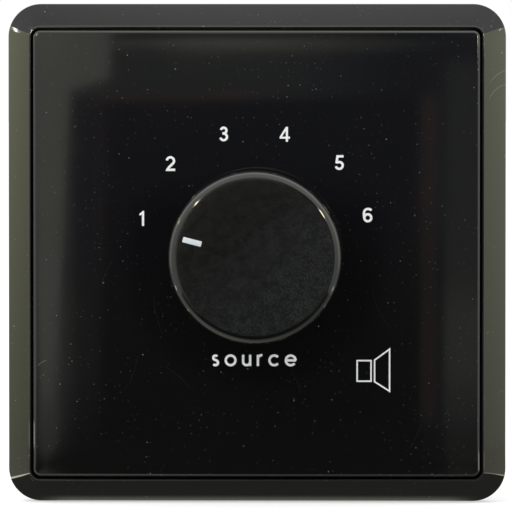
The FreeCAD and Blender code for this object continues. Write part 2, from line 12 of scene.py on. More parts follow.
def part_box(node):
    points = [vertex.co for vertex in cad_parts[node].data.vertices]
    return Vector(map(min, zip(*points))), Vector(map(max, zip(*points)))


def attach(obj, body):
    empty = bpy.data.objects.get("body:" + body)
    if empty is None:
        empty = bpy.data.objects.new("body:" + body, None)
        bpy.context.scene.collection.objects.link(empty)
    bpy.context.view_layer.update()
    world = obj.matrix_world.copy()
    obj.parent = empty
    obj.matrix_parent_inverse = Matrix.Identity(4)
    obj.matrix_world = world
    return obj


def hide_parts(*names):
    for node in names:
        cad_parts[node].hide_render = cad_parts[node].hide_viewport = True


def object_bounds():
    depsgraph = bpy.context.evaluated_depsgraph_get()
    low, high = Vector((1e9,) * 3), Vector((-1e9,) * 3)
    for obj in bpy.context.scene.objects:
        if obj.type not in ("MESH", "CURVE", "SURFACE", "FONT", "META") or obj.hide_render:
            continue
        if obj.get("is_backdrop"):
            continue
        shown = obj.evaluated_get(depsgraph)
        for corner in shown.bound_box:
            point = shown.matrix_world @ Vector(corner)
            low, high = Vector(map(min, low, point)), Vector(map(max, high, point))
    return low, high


# Looks of a wall-mounted audio source selector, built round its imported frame. Lengths are in metres.
# X points right, Z up and -Y out of the wall. A level is the distance out of the wall plane, so y = -level.
# Clock angles run clockwise from the top, seen from the front.

bl_info = {
    "name": "Audio source selector",
    "version": (1, 0, 0),
    "blender": (4, 5, 0),
    "location": "View3D > Sidebar > Selector",
    "description": "Builds a wall-mounted audio source selector round its packed frame",
    "category": "Object",
}

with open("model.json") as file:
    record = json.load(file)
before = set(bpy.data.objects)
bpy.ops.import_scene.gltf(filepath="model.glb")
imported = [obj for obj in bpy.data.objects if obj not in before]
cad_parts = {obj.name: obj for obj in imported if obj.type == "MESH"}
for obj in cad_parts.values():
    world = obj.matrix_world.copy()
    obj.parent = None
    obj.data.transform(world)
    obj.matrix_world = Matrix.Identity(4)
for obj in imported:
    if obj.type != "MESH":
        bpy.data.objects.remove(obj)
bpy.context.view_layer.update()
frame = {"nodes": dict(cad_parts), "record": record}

MM = 0.001
IMAGE_SIZE = 512


def levels(node):
    """Back and front level of a node of the frame."""
    low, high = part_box(node)
    return -high.y, -low.y


def half_width(node):
    """Half of a node's width."""
    low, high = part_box(node)
    return (high.x - low.x) / 2


# Settings


def length(name, description, default):
    """Length that a user can set, in metres."""
    return FloatProperty(name=name, description=description, default=default, unit="LENGTH", precision=5)


def number(name, description, default):
    """Plain number that a user can set."""
    return FloatProperty(name=name, description=description, default=default, precision=4)


def angle(name, description, degrees):
    """Angle that a user can set, given here in degrees."""
    return FloatProperty(name=name, description=description, default=math.radians(degrees), subtype="ANGLE")


def colour(name, description, default):
    """Colour that a user can set."""
    return FloatVectorProperty(name=name, description=description, default=default, subtype="COLOR",
                               min=0.0, max=1.0)


class CoverFrameSettings(bpy.types.PropertyGroup):
    """Sizes of the outer frame"""
    corner_radius: length("Corner radius", "Radius of the frame's outer corners", 5.3 * MM)
    lip: length("Lip", "Height of the straight outer wall below the sloped band", 2.0 * MM)
    rim_land: length("Rim land", "Width of the rim inside the band", 0.28 * MM)
    rim_rounding: length("Rim rounding", "Edge radius between the band and the rim", 0.15 * MM)
    lip_rounding: length("Lip rounding", "Edge radius between the outer wall and the band", 0.8 * MM)
    opening_half: length("Opening", "Half of the opening's side", 36.18 * MM)
    opening_corner: length("Opening corner", "Corner radius of the opening", 1.5 * MM)
    ledge_width: length("Ledge width", "Reach of the ledge that the plate stands on", 2.6 * MM)
    recess_half: length("Recess", "Half of the recess for the mounting bridge", 35.9 * MM)
    recess_corner: length("Recess corner", "Corner radius of that recess", 4.0 * MM)
    rear_land: length("Rear land", "Width of the outer strip that lies on the wall", 1.6 * MM)
    groove_width: length("Groove width", "Width of the groove in the back", 1.1 * MM)
    groove_depth: length("Groove depth", "Depth of the groove in the back", 2.6 * MM)
    web_width: length("Web width", "Thickness of the webs across the groove", 1.0 * MM)
    web_spacing: length("Web spacing", "Distance between the webs", 18.0 * MM)


class CentrePlateSettings(bpy.types.PropertyGroup):
    """Sizes of the front plate"""
    corner_radius: length("Corner radius", "Corner radius of the plate", 1.2 * MM)
    edge_rounding: length("Edge rounding", "Radius of the plate's front edge", 0.5 * MM)
    thickness: length("Thickness", "Thickness of the plate", 2.5 * MM)
    skirt_wall: length("Skirt wall", "Thickness of the skirt round the back", 1.6 * MM)
    skirt_corner: length("Skirt corner", "Corner radius inside the skirt", 0.8 * MM)
    hole_radius: length("Hole radius", "Radius of the hole for the bushing", 5.15 * MM)
    boss_radius: length("Boss radius", "Radius of the boss round the hole", 9.0 * MM)
    boss_level: length("Boss level", "Level of the boss's back", 4.1 * MM)
    waviness: length("Waviness", "Height of the moulded face's slow waves", 0.0035 * MM)


class PrintSettings(bpy.types.PropertyGroup):
    """Sizes and places of the print on the plate"""
    thickness: length("Ink thickness", "Height of the ink above the plate", 0.012 * MM)
    dial_radius: length("Dial radius", "Distance of the numbers from the dial's centre", 18.87 * MM)
    dial_x: length("Dial centre X", "Dial centre, to the right of the knob's axis", -0.07 * MM)
    dial_z: length("Dial centre Z", "Dial centre, above the knob's axis", 1.09 * MM)
    dial_turn: angle("Dial turn", "Small turn of the printed dial", -0.9)
    dial_step: angle("Dial step", "Angle between two numbers", 30.0)
    number_scale: number("Number scale", "Size of the numbers", 0.96)
    number_stroke: length("Number stroke", "Stroke width of the numbers", 0.38 * MM)
    word_scale: number("Word scale", "Size of the word's letters", 1.06)
    word_stroke: length("Word stroke", "Stroke width of the word", 0.39 * MM)
    word_gap: length("Letter gap", "Space between two letters of the word", 0.95 * MM)
    word_x: length("Word X", "Middle of the word", -0.37 * MM)
    word_z: length("Word Z", "Middle of the word's small letters", -17.06 * MM)
    sign_x: length("Sign X", "Middle of the loudspeaker sign", 18.74 * MM)
    sign_z: length("Sign Z", "Middle of the loudspeaker sign", -18.58 * MM)
    sign_stroke: length("Sign stroke", "Line width of the loudspeaker sign", 0.245 * MM)


class KnobSettings(bpy.types.PropertyGroup):
    """Sizes of the knob and the bar in its face"""
    draft: length("Draft", "How much narrower the side gets towards the front", 0.05 * MM)
    shoulder: length("Shoulder", "Radius between the side and the face", 1.35 * MM)
    base_rounding: length("Base rounding", "Edge radius at the base", 0.15 * MM)
    wall: length("Wall", "Thickness of the side wall", 2.0 * MM)
    front_wall: length("Front wall", "Thickness of the face", 2.6 * MM)
    hub_radius: length("Hub radius", "Radius of the hub on the shaft", 5.3 * MM)
    hub_level: length("Hub level", "Level of the hub's back end", 11.85 * MM)
    bore_radius: length("Bore radius", "Radius of the hub's bore", 3.03 * MM)
    bore_end: length("Bore end", "Level of the bore's end", 22.15 * MM)
    face_dish: length("Face dish", "Depth of the very flat hollow in the face", 0.04 * MM)
    pointer_length: length("Pointer length", "Length of the white bar", 3.05 * MM)
    pointer_width: length("Pointer width", "Width of the white bar", 0.87 * MM)
    pointer_reach: length("Pointer reach", "Distance of the bar's outer end from the axis", 11.75 * MM)
    pointer_angle: angle("Pointer angle", "Clock angle of the bar at the first position", -75.7)


class TerminalSettings(bpy.types.PropertyGroup):
    """Sizes of the terminals, the solder and the board's tracks"""
    ways: IntProperty(name="Ways", description="Terminals in each row", default=7)
    pitch: length("Pitch", "Distance between two terminals", 5.0 * MM)
    row_distance: length("Row distance", "Distance of each row from the middle", 13.8 * MM)
    head_radius: length("Head radius", "Radius of the screw heads", 1.75 * MM)
    head_height: length("Head height", "Height of the screw heads", 1.8 * MM)
    shank_radius: length("Shank radius", "Radius of the screws' threads", 1.2 * MM)
    slot_width: length("Slot width", "Width of the screwdriver slot", 0.6 * MM)
    slot_depth: length("Slot depth", "Depth of the screwdriver slot", 0.8 * MM)
    solder_radius: length("Solder radius", "Foot radius of a solder joint", 0.9 * MM)
    solder_height: length("Solder height", "Height of a solder joint", 0.6 * MM)
    pin_radius: length("Pin radius", "Radius of the soldered pins", 0.5 * MM)
    contact_count: IntProperty(name="Contacts", description="Switch contacts in the outer ring", default=12)
    contact_distance: length("Contact distance", "Distance of the contact pins from the axis", 9.0 * MM)
    common_distance: length("Common distance", "Distance of the two common pins from the axis", 5.2 * MM)
    first_contact: angle("First contact", "Clock angle of the first contact pin", -75.0)
    track_width: length("Track width", "Width of the copper tracks on the board", 0.8 * MM)
    track_height: length("Track height", "Height of the tracks above the board", 0.035 * MM)
    pad_radius: length("Pad radius", "Radius of the copper round a pin", 1.35 * MM)
    block_chamfer: length("Block chamfer", "Chamfer of the terminal blocks' rear edges", 0.8 * MM)
    groove_width: length("Groove width", "Width of the grooves between two ways", 0.34 * MM)
    groove_depth: length("Groove depth", "Depth of those grooves", 0.38 * MM)


class FinishSettings(bpy.types.PropertyGroup):
    """Colours of the plastics, the ink and the lacquer"""
    gloss_black: colour("Gloss black", "Glossy plastic of the frame and the plate", (0.0030, 0.0030, 0.0034))
    knob_black: colour("Knob black", "Satin plastic of the knob", (0.0012, 0.0013, 0.0014))
    ink_white: colour("Ink white", "Printed numbers, word and sign", (0.91, 0.92, 0.91))
    pointer_white: colour("Pointer white", "Bar on the knob", (0.64, 0.68, 0.72))
    board_green: colour("Board green", "Lacquer of the circuit board", (0.010, 0.105, 0.042))
    track_green: colour("Track green", "Lacquer over the board's copper tracks", (0.020, 0.190, 0.070))
    terminal_green: colour("Terminal green", "Plastic of the terminal blocks", (0.030, 0.230, 0.075))


class StageSettings(bpy.types.PropertyGroup):
    """Place of the camera, and strength of the light"""
    azimuth: angle("Azimuth", "Camera's place to the right of the front", 1.0)
    elevation: angle("Elevation", "Camera height above the horizon", 2.2)
    distance: length("Distance", "Camera distance from the object", 1.2)
    pixels_across: number("Pixels across", "Width of the frame in the picture, in pixels", 496.4)
    centre_column: number("Centre column", "Picture column of the frame's middle", 257.3)
    centre_row: number("Centre row", "Picture row of the frame's middle", 252.2)
    world_light: number("World light", "Strength of the white surroundings", 0.86)
    key_power: number("Key power", "Power of the soft lamp, in watts", 4.0)


# Shader helpers


class Value:
    """Output of a node. Arithmetic on it adds Math nodes to its tree, so that a look reads as a formula."""

    def __init__(self, socket):
        self.socket = socket
        self.tree = socket.id_data

    def __add__(self, other):
        return calc("ADD", self, other)

    def __sub__(self, other):
        return calc("SUBTRACT", self, other)

    def __rsub__(self, other):
        return calc("SUBTRACT", other, self)

    def __mul__(self, other):
        return calc("MULTIPLY", self, other)

    def __truediv__(self, other):
        return calc("DIVIDE", self, other)

    def __rtruediv__(self, other):
        return calc("DIVIDE", other, self)

    def __pow__(self, other):
        return calc("POWER", self, other)

    def __abs__(self):
        return calc("ABSOLUTE", self)

    def __lt__(self, other):
        return calc("LESS_THAN", self, other)

    def __gt__(self, other):
        return calc("GREATER_THAN", self, other)


def feed(socket, value):
    """Gives an input socket a value, or a plain number, vector or colour."""
    if isinstance(value, Value):
        value.tree.links.new(value.socket, socket)
    else:
        socket.default_value = value


def give(node, **values):
    """Sets a node's settings and feeds its input sockets, both by name."""
    for name, value in values.items():
        if hasattr(node, name):
            setattr(node, name, value)
        else:
            feed(node.inputs[name.replace("_", " ")], value)
    return node


def add(tree, kind, **values):
    """New node with some of its settings and input sockets given by name."""
    return give(tree.nodes.new(kind), **values)


def take(tree, kind, output, **values):
    """Value of one output of a new node."""
    return Value(add(tree, kind, **values).outputs[output])


def calc(operation, *operands, kind="ShaderNodeMath", **settings):
    """Math node on values and numbers, in the tree of the first value among them."""
    tree = next(operand.tree for operand in operands if isinstance(operand, Value))
    node = add(tree, kind, operation=operation, **settings)
    for socket, operand in zip(node.inputs, operands):
        feed(socket, operand)
    return Value(node.outputs[0])


def largest(first, *others):
    """The largest of several values."""
    result = first
    for other in others:
        result = calc("MAXIMUM", result, other)
    return result


def distance(aside, up):
    """How far a place is from the middle."""
    return calc("SQRT", aside ** 2.0 + up ** 2.0)


def spread(value, low, high, to_low=0.0, to_high=1.0, smooth=True):
    """Maps a value from one range to another, and holds it there beyond the range's ends."""
    return take(value.tree, "ShaderNodeMapRange", "Result",
                interpolation_type="SMOOTHSTEP" if smooth else "LINEAR",
                Value=value, From_Min=low, From_Max=high, To_Min=to_low, To_Max=to_high)


def fading(value, low, high):
    """1 below a range, falling to 0 at its upper end."""
    return spread(value, low, high, 1.0, 0.0)


def near_to(value, middle, half):
    """1 where a value is within a distance of the middle, falling to 0 at twice that distance."""
    return calc("SUBTRACT", 2.0, abs(value - middle) / half, use_clamp=True)


def blend(factor, first, second):
    """Mix of two colours, each a value or an RGB triple."""
    node = add(factor.tree, "ShaderNodeMix", data_type="RGBA")
    sockets = {socket.identifier: socket for socket in node.inputs}
    feed(sockets["Factor_Float"], factor)
    for name, tone in (("A_Color", first), ("B_Color", second)):
        feed(sockets[name], tone if isinstance(tone, Value) else (*tone, 1.0))
    return Value(next(socket for socket in node.outputs if socket.identifier == "Result_Color"))


def toned(base, share):
    """A colour made darker or lighter."""
    return tuple(part * share for part in base)


def split(value, kind="ShaderNodeSeparateXYZ"):
    """The three parts of a vector, or of a colour."""
    node = value.tree.nodes.new(kind)
    feed(node.inputs[0], value)
    return [Value(socket) for socket in node.outputs]


def object_place(tree):
    """Place on the object, which a pattern follows."""
    return take(tree, "ShaderNodeTexCoord", "Object")


def noise(place, size, **values):
    """Cloudy noise whose features have a size."""
    return take(place.tree, "ShaderNodeTexNoise", "Fac", Vector=place, Scale=1.0 / size, **values)


def relief(height, depth):
    """Normal of a surface that rises and falls with a value."""
    return take(height.tree, "ShaderNodeBump", "Normal", Height=height, Distance=depth)


# Effects that several finishes share

MASK = {"Mask": "NodeSocketFloat"}
NORMAL_AND_MASK = {"Normal": "NodeSocketVector", "Mask": "NodeSocketFloat"}


def new_group(name, inputs, outputs):
    """Empty shader node group, the values of its inputs and its output node."""
    group = bpy.data.node_groups.new(name, "ShaderNodeTree")
    for label, default in inputs.items():
        socket = group.interface.new_socket(name=label, in_out="INPUT", socket_type="NodeSocketFloat")
        socket.default_value = default
    for label, kind in outputs.items():
        group.interface.new_socket(name=label, in_out="OUTPUT", socket_type=kind)
    entry = group.nodes.new("NodeGroupInput")
    return group, [Value(entry.outputs[label]) for label in inputs], group.nodes.new("NodeGroupOutput")


@cache
def grain_group():
    """Fine moulded or cast grain: a normal for the shader and a mask for its roughness."""
    group, (size, depth, softness), result = new_group(
        "Surface grain", {"Size": 0.3 * MM, "Depth": 0.004 * MM, "Softness": 0.5}, NORMAL_AND_MASK)
    fine = noise(object_place(group), size, Detail=3.0, Roughness=softness)
    give(result, Normal=relief(fine, depth), Mask=fine)
    return group


@cache
def brushed_group():
    """Drawn or brushed lines along X: a normal and a mask."""
    group, (size, depth), result = new_group(
        "Brushed lines", {"Size": 0.2 * MM, "Depth": 0.003 * MM}, NORMAL_AND_MASK)
    stretched = take(group, "ShaderNodeMapping", "Vector", Vector=object_place(group), Scale=(0.03, 1.0, 1.0))
    lines = noise(stretched, size, Detail=4.0)
    give(result, Normal=relief(lines, depth), Mask=lines)
    return group


@cache
def haze_group():
    """Slow patches from wiping and handling: a mask."""
    group, (size,), result = new_group("Handling haze", {"Size": 14.0 * MM}, MASK)
    cloud = noise(object_place(group), size, Detail=5.0, Roughness=0.62)
    give(result, Mask=spread(cloud, 0.35, 0.72))
    return group


def flattened(place):
    """X and Z of a place as a flat vector, for a face that looks along Y."""
    x, _, z = split(place)
    return take(place.tree, "ShaderNodeCombineXYZ", "Vector", X=x, Y=z)


def scattered_cells(flat, spacing):
    """Random cells on a flat vector: their node, and three random values for each cell."""
    cells = add(flat.tree, "ShaderNodeTexVoronoi", voronoi_dimensions="2D", Vector=flat, Scale=1.0 / spacing)
    return cells, split(Value(cells.outputs["Color"]), "ShaderNodeSeparateColor")


@cache
def dust_group():
    """Specks of dust on a face that looks along Y, in loose drifts, most of them faint."""
    group, (spacing, speck_radius, share), result = new_group(
        "Dust specks", {"Spacing": 3.0 * MM, "Speck radius": 0.05 * MM, "Share": 0.35}, MASK)
    place = object_place(group)
    cells, (pick, size, brightness) = scattered_cells(flattened(place), spacing)
    speck = Value(cells.outputs["Distance"]) * spacing < speck_radius * (size + 0.4)
    drift = spread(noise(place, spacing * 5.0, Detail=2.0), 0.40, 0.62, 0.55, 2.0)
    give(result, Mask=speck * (pick < share * drift) * brightness ** 1.8)
    return group


@cache
def scratch_group():
    """Short, slightly bent hairline scratches in random directions on a face that looks along Y."""
    group, (spacing, width, share), result = new_group(
        "Hairline scratches", {"Spacing": 9.0 * MM, "Width": 0.02 * MM, "Share": 0.2}, MASK)
    flat = flattened(object_place(group))
    cells, (direction, size, pick) = scattered_cells(flat, spacing)
    away = calc("SUBTRACT", flat, Value(cells.outputs["Position"]), kind="ShaderNodeVectorMath")
    turned = take(group, "ShaderNodeVectorRotate", "Vector", rotation_type="Z_AXIS", Vector=away,
                  Angle=direction * math.tau)
    along, across, _ = split(turned)
    bend = along ** 2.0 * 40.0
    line = abs(across - bend) < width
    within = abs(along) < size * (spacing * 0.4)
    give(result, Mask=line * within * (pick < share))
    return group


def use(tree, make, **values):
    """Places a shared effect, with some of its inputs given by name, and returns its outputs by name."""
    node = add(tree, "ShaderNodeGroup", node_tree=make(), **values)
    return {socket.name: Value(socket) for socket in node.outputs}


def haze_of(tree, size):
    """Mask of handling haze whose patches have a size."""
    return use(tree, haze_group, Size=size)["Mask"]


# Finishes


def new_material(name, **values):
    """Material with one Principled BSDF whose constant sockets are set directly."""
    material = bpy.data.materials.new(name)
    material.use_nodes = True
    tree = material.node_tree
    return material, tree, give(tree.nodes["Principled BSDF"], **values)


# Base colour, metallic, roughness, grain size, grain depth, brushed, and how much the tone and gloss vary
PLAIN_FINISHES = {
    "zinc_steel": ((0.60, 0.61, 0.60), 1.0, 0.34, 0.16 * MM, 0.0030 * MM, True, 0.22),
    "nickel_brass": ((0.66, 0.63, 0.55), 1.0, 0.22, 0.12 * MM, 0.0015 * MM, False, 0.12),
    "die_cast": ((0.52, 0.52, 0.53), 1.0, 0.42, 0.35 * MM, 0.0080 * MM, False, 0.18),
    "switch_black": ((0.016, 0.016, 0.017), 0.0, 0.46, 0.22 * MM, 0.0060 * MM, False, 0.25),
    "phenolic_brown": ((0.135, 0.062, 0.026), 0.0, 0.40, 0.30 * MM, 0.0050 * MM, True, 0.45),
    "contact_silver": ((0.80, 0.79, 0.76), 1.0, 0.24, 0.10 * MM, 0.0010 * MM, False, 0.20),
    "terminal_metal": ((0.72, 0.71, 0.68), 1.0, 0.30, 0.14 * MM, 0.0020 * MM, True, 0.18),
    "screw_steel": ((0.58, 0.59, 0.60), 1.0, 0.30, 0.10 * MM, 0.0018 * MM, True, 0.20),
    "solder": ((0.74, 0.74, 0.75), 1.0, 0.20, 0.40 * MM, 0.0060 * MM, False, 0.25),
    "shaft_steel": ((0.56, 0.56, 0.56), 1.0, 0.26, 0.09 * MM, 0.0012 * MM, True, 0.15),
    "spring_steel": ((0.36, 0.36, 0.38), 1.0, 0.30, 0.10 * MM, 0.0015 * MM, True, 0.20),
}
PLAIN_HAZE = 5.0 * MM


def plain_finish(slot, base, metallic, roughness, grain_size, grain_depth, brushed, change):
    """Metal or plastic with its own grain, and a tone and gloss that vary a little."""
    material, tree, shader = new_material(slot, Metallic=metallic)
    surface = use(tree, brushed_group if brushed else grain_group, Size=grain_size, Depth=grain_depth)
    haze = haze_of(tree, PLAIN_HAZE)
    darker = toned(base, 1.0 - change)
    tone = blend(surface["Mask"] * change, blend(haze, base, darker), darker)
    smoothest = roughness * (1.0 - 0.25 * change)
    mottled = surface["Mask"] * (0.5 * change) + haze * (0.35 * change) + smoothest
    give(shader, Base_Color=tone, Roughness=mottled, Normal=surface["Normal"])
    return material


# Longer curved scratches, each part of a circle: its centre (x, z), its radius and its ends' clock angles
CURVED_SCRATCHES = (
    (41.2 * MM, 25.0 * MM, 4.52 * MM, -64.0, 20.0),
    (40.6 * MM, 23.6 * MM, 3.53 * MM, -78.0, 16.0),
    (-32.8 * MM, -20.0 * MM, 3.06 * MM, -52.0, -14.0),
)
SCRATCH_HALF_WIDTH = 0.025 * MM
DUST_GREY = (0.42, 0.42, 0.40)


def curved_scratches(x, z):
    """Mask of the longer curved scratches, which fade out towards their ends."""
    masks = []
    for centre_x, centre_z, radius, start, end in CURVED_SCRATCHES:
        aside = x - centre_x
        up = z - centre_z
        line = near_to(distance(aside, up), radius, SCRATCH_HALF_WIDTH)
        half = math.radians(end - start) / 2
        turn = calc("ARCTAN2", aside, up) - math.radians(start + end) / 2
        masks.append(line * fading(abs(turn), half * 0.55, half))
    return largest(*masks)


def gloss_black_finish():
    """Piano-black moulded plastic with faint haze, scratches and dust, dull down in the gap and behind."""
    scene = bpy.context.scene
    material, tree, shader = new_material("gloss_black", IOR=1.5, Specular_IOR_Level=0.5)
    dust = use(tree, dust_group, Spacing=2.3 * MM, Speck_radius=0.052 * MM, Share=0.34)["Mask"]
    fine_dust = use(tree, dust_group, Spacing=1.1 * MM, Speck_radius=0.055 * MM, Share=0.46)["Mask"]
    scratch = use(tree, scratch_group, Spacing=9.0 * MM, Width=0.009 * MM, Share=0.16)["Mask"]
    x, y, z = split(object_place(tree))
    marks = largest(dust, fine_dust * 0.28, scratch * 0.08, curved_scratches(x, z) * 0.30)
    opening = scene.selector_cover_frame.opening_half + 0.1 * MM
    edge_level = levels("centre_plate")[1] - scene.selector_centre_plate.edge_rounding
    sunk = (largest(abs(x), abs(z)) < opening) * (y > -edge_level)
    rough = haze_of(tree, 16.0 * MM) * 0.030 + sunk * 0.6 + marks * 0.30 + 0.045
    grain = use(tree, grain_group, Size=1.1 * MM, Depth=0.00035 * MM, Softness=0.45)
    give(shader, Base_Color=blend(marks, scene.selector_finishes.gloss_black, DUST_GREY), Roughness=rough,
         Normal=grain["Normal"])
    return material


def knob_black_finish():
    """Fine satin grain on the knob's face, smooth and glossier on its shoulder and side. The face's colour
    also carries a painted sheen: it is painted lighter towards its lower right, as if lit from there.
    """
    look = bpy.context.scene.selector_finishes
    knob = bpy.context.scene.selector_knob
    material, tree, shader = new_material("knob_black", IOR=1.5, Specular_IOR_Level=0.42)
    place = object_place(tree)
    x, _, z = split(place)
    face_radius = half_width("knob_cap") - knob.draft - knob.shoulder
    face = fading(distance(x, z), face_radius - 0.1 * MM, face_radius + 0.25 * MM)
    haze = haze_of(tree, 7.0 * MM)
    speckle = noise(place, 1.7 * MM, Detail=6.0, Roughness=0.8)
    grit = noise(place, 0.24 * MM, Detail=1.0)
    grit_share = 0.55
    fine = spread(grit, 0.30, 0.70, 0.0, grit_share, smooth=False)
    fine = spread(fine + spread(speckle, 0.34, 0.66, 0.0, 1.0 - grit_share, smooth=False), 0.22, 0.78)
    # Painted sheen: a gradient that makes the face's colour lighter towards its lower right, standing in for
    # light falling from that side. It turns with the knob.
    painted_sheen = spread(x - z, -9.0 * MM, 10.0 * MM, 0.0, 0.76)
    rubbed = (fine * 0.60 + 0.40) * (haze * 0.40 + 0.66)
    # The face's colour: grain and handling haze, made lighter towards the lower right by the painted sheen.
    mottled = blend(rubbed * painted_sheen + fine * 0.25, toned(look.knob_black, 0.2), toned(look.knob_black, 12.0))
    gloss = haze * 0.04 + 0.07
    satin = speckle * 0.10 + 0.20
    give(shader, Base_Color=blend(face, look.gloss_black, mottled), Roughness=gloss + (satin - gloss) * face,
         Normal=relief(speckle * face, 0.016 * MM))
    return material


def uneven_white(slot, base, shade, low, high, roughness, grain_size, grain_depth):
    """White that gets darker as its grain rises from a low to a high value."""
    material, tree, shader = new_material(slot, Roughness=roughness)
    grain = use(tree, grain_group, Size=grain_size, Depth=grain_depth)
    give(shader, Base_Color=blend(spread(grain["Mask"], low, high), base, toned(base, shade)),
         Normal=grain["Normal"])
    return material


def ink_finish():
    """White screen-printing ink, a little uneven."""
    look = bpy.context.scene.selector_finishes
    return uneven_white("marking_white", look.ink_white, 0.86, 0.42, 0.75, 0.5, 0.12 * MM, 0.002 * MM)


def pointer_finish():
    """Cool white plastic of the knob's bar."""
    look = bpy.context.scene.selector_finishes
    return uneven_white("pointer_white", look.pointer_white, 0.9, 0.4, 0.7, 0.36, 0.2 * MM, 0.003 * MM)


def board_finish():
    """Green lacquer over a woven glass base, paler where it covers the raised tracks."""
    look = bpy.context.scene.selector_finishes
    material, tree, shader = new_material("board_green", Roughness=0.32)
    place = object_place(tree)
    thread_size = 2.4 * MM
    threads = [take(tree, "ShaderNodeTexWave", "Fac", Vector=place, Scale=1.0 / thread_size,
                    bands_direction=way) for way in "XZ"]
    weave = threads[0] * threads[1]
    base = look.board_green
    woven = blend(weave * 0.35, base, toned(base, 1.5))
    woven = blend(haze_of(tree, 8.0 * MM) * 0.3, woven, toned(base, 0.75))
    over_track = split(place)[1] > 0.01 * MM - levels("circuit_board")[0]
    give(shader, Base_Color=blend(over_track, woven, look.track_green), Normal=relief(weave, 0.004 * MM))
    return material


def terminal_finish():
    """Green terminal plastic with a moulded grain."""
    base = bpy.context.scene.selector_finishes.terminal_green
    material, tree, shader = new_material("terminal_green", Roughness=0.42)
    grain = use(tree, grain_group, Size=0.25 * MM, Depth=0.006 * MM)
    give(shader, Base_Color=blend(haze_of(tree, 6.0 * MM) * 0.4, base, toned(base, 0.7)),
         Normal=grain["Normal"])
    return material


SPECIAL_FINISHES = {
    "gloss_black": gloss_black_finish,
    "knob_black": knob_black_finish,
    "marking_white": ink_finish,
    "pointer_white": pointer_finish,
    "board_green": board_finish,
    "terminal_green": terminal_finish,
}


@cache
def finish(slot):
    """The material of a slot, made when it is first asked for."""
    if slot in PLAIN_FINISHES:
        return plain_finish(slot, *PLAIN_FINISHES[slot])
    return SPECIAL_FINISHES[slot]()


# Mesh helpers

MERGE_DISTANCE = 0.0001 * MM


def at(x, z, level):
    """Point from its place on the wall and its level out of it."""
    return Vector((x, -level, z))


def clock(turn, reach):
    """Place on the wall at a clock angle, in radians, and a distance from the knob's axis."""
    return reach * math.sin(turn), reach * math.cos(turn)


def arc(x, z, radius, start, end, steps=None):
    """Points of an arc, in degrees counted from the first axis towards the second."""
    usual_step, least_steps = 9, 3
    steps = steps or max(least_steps, round(abs(end - start) / usual_step))
    turns = [math.radians(start + (end - start) * step / steps) for step in range(steps + 1)]
    return [(x + radius * math.cos(turn), z + radius * math.sin(turn)) for turn in turns]


def linked_object(name, data):
    """Object in the scene for a mesh, a lamp or a camera."""
    thing = bpy.data.objects.new(name, data)
    bpy.context.scene.collection.objects.link(thing)
    return thing


def finish_piece(name, mesh, slot, body, replaced=(), sharp=35.0, look=None):
    """Piece from a finished mesh, shaded smooth but for its sharp edges, that rides on a body."""
    mesh.name = name
    piece = linked_object(name, mesh)
    mesh.materials.clear()
    mesh.materials.append(finish(look or slot))
    mesh.shade_smooth()
    mesh.set_sharp_from_angle(angle=math.radians(sharp))
    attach(piece, body)
    if replaced:
        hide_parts(*replaced)
    return piece


def mesh_from(shape, name):
    """Mesh from a bmesh, merged and with its faces pointing out."""
    bmesh.ops.remove_doubles(shape, verts=shape.verts, dist=MERGE_DISTANCE)
    bmesh.ops.recalc_face_normals(shape, faces=shape.faces)
    mesh = bpy.data.meshes.new(name)
    shape.to_mesh(mesh)
    shape.free()
    return mesh


def skinned(loops, capped=False):
    """Closed bmesh between loops of equally many points: its ends are capped, or the last joins the first."""
    shape = bmesh.new()
    rows = [[shape.verts.new(point) for point in loop] for loop in loops]
    pairs = list(zip(rows, rows[1:]))
    if not capped:
        pairs.append((rows[-1], rows[0]))
    for first, second in pairs:
        for i in range(len(first)):
            j = (i + 1) % len(first)
            shape.faces.new((first[i], first[j], second[j], second[i]))
    if capped:
        for end in (rows[0], rows[-1]):
            shape.faces.new(end)
    return shape


def square_loop(half, radius, corner_steps=16, side_steps=20):
    """Places round a square with round corners, the same number whatever its size."""
    places = []
    flat = half - radius
    for quarter in range(4):
        turn = Matrix.Rotation(-quarter * math.pi / 2, 2)
        for step in range(side_steps):
            share = step / side_steps
            places.append(turn @ Vector((-flat + 2 * flat * share, half)))
        for step in range(corner_steps):
            bend = step / corner_steps * math.pi / 2
            places.append(turn @ Vector((flat + radius * math.sin(bend), flat + radius * math.cos(bend))))
    return places


def loop_at(places, level):
    """Points of a loop of places at a level."""
    return [at(place.x, place.y, level) for place in places]


def round_loop(radius, like):
    """Places on a circle, at the same bearings as another loop's."""
    return [radius * place.normalized() for place in like]


def rounded_profile(corners, steps=5):
    """Closed profile with its corners rounded. A corner is (half side, level, corner radius, rounding)."""
    points = []
    for i, (half, level, radius, rounding) in enumerate(corners):
        if rounding <= 0:
            points.append((half, level, radius))
            continue
        here = Vector((half, level))
        before = corners[i - 1]
        after = corners[(i + 1) % len(corners)]
        to_before = Vector(before[:2]) - here
        to_after = Vector(after[:2]) - here
        opening = to_before.angle(to_after)
        reach = rounding / math.tan(opening / 2)
        inwards = (to_before.normalized() + to_after.normalized()).normalized()
        middle = here + inwards * rounding / math.sin(opening / 2)
        first = here + to_before.normalized() * reach - middle
        last = here + to_after.normalized() * reach - middle
        swing = math.atan2(first.x * last.y - first.y * last.x, first.dot(last))
        start_radius = radius + (before[2] - radius) * reach / to_before.length
        end_radius = radius + (after[2] - radius) * reach / to_after.length
        for step in range(steps + 1):
            share = step / steps
            point = middle + Matrix.Rotation(swing * share, 2) @ first
            points.append((point.x, point.y, start_radius + (end_radius - start_radius) * share))
    return points


def add_box(shape, low, high, turn=Matrix.Identity(4)):
    """Adds a box between two corners, turned about the origin."""
    place = Matrix.Translation((high + low) / 2) @ Matrix.Diagonal((*(high - low), 1.0))
    bmesh.ops.create_cube(shape, size=1.0, matrix=turn @ place)


def spun(profile, steps):
    """Loops of a profile of (radius, level) turned about the knob's axis."""
    return [[at(*clock(math.tau * step / steps, radius), level) for step in range(steps)]
            for radius, level in profile]


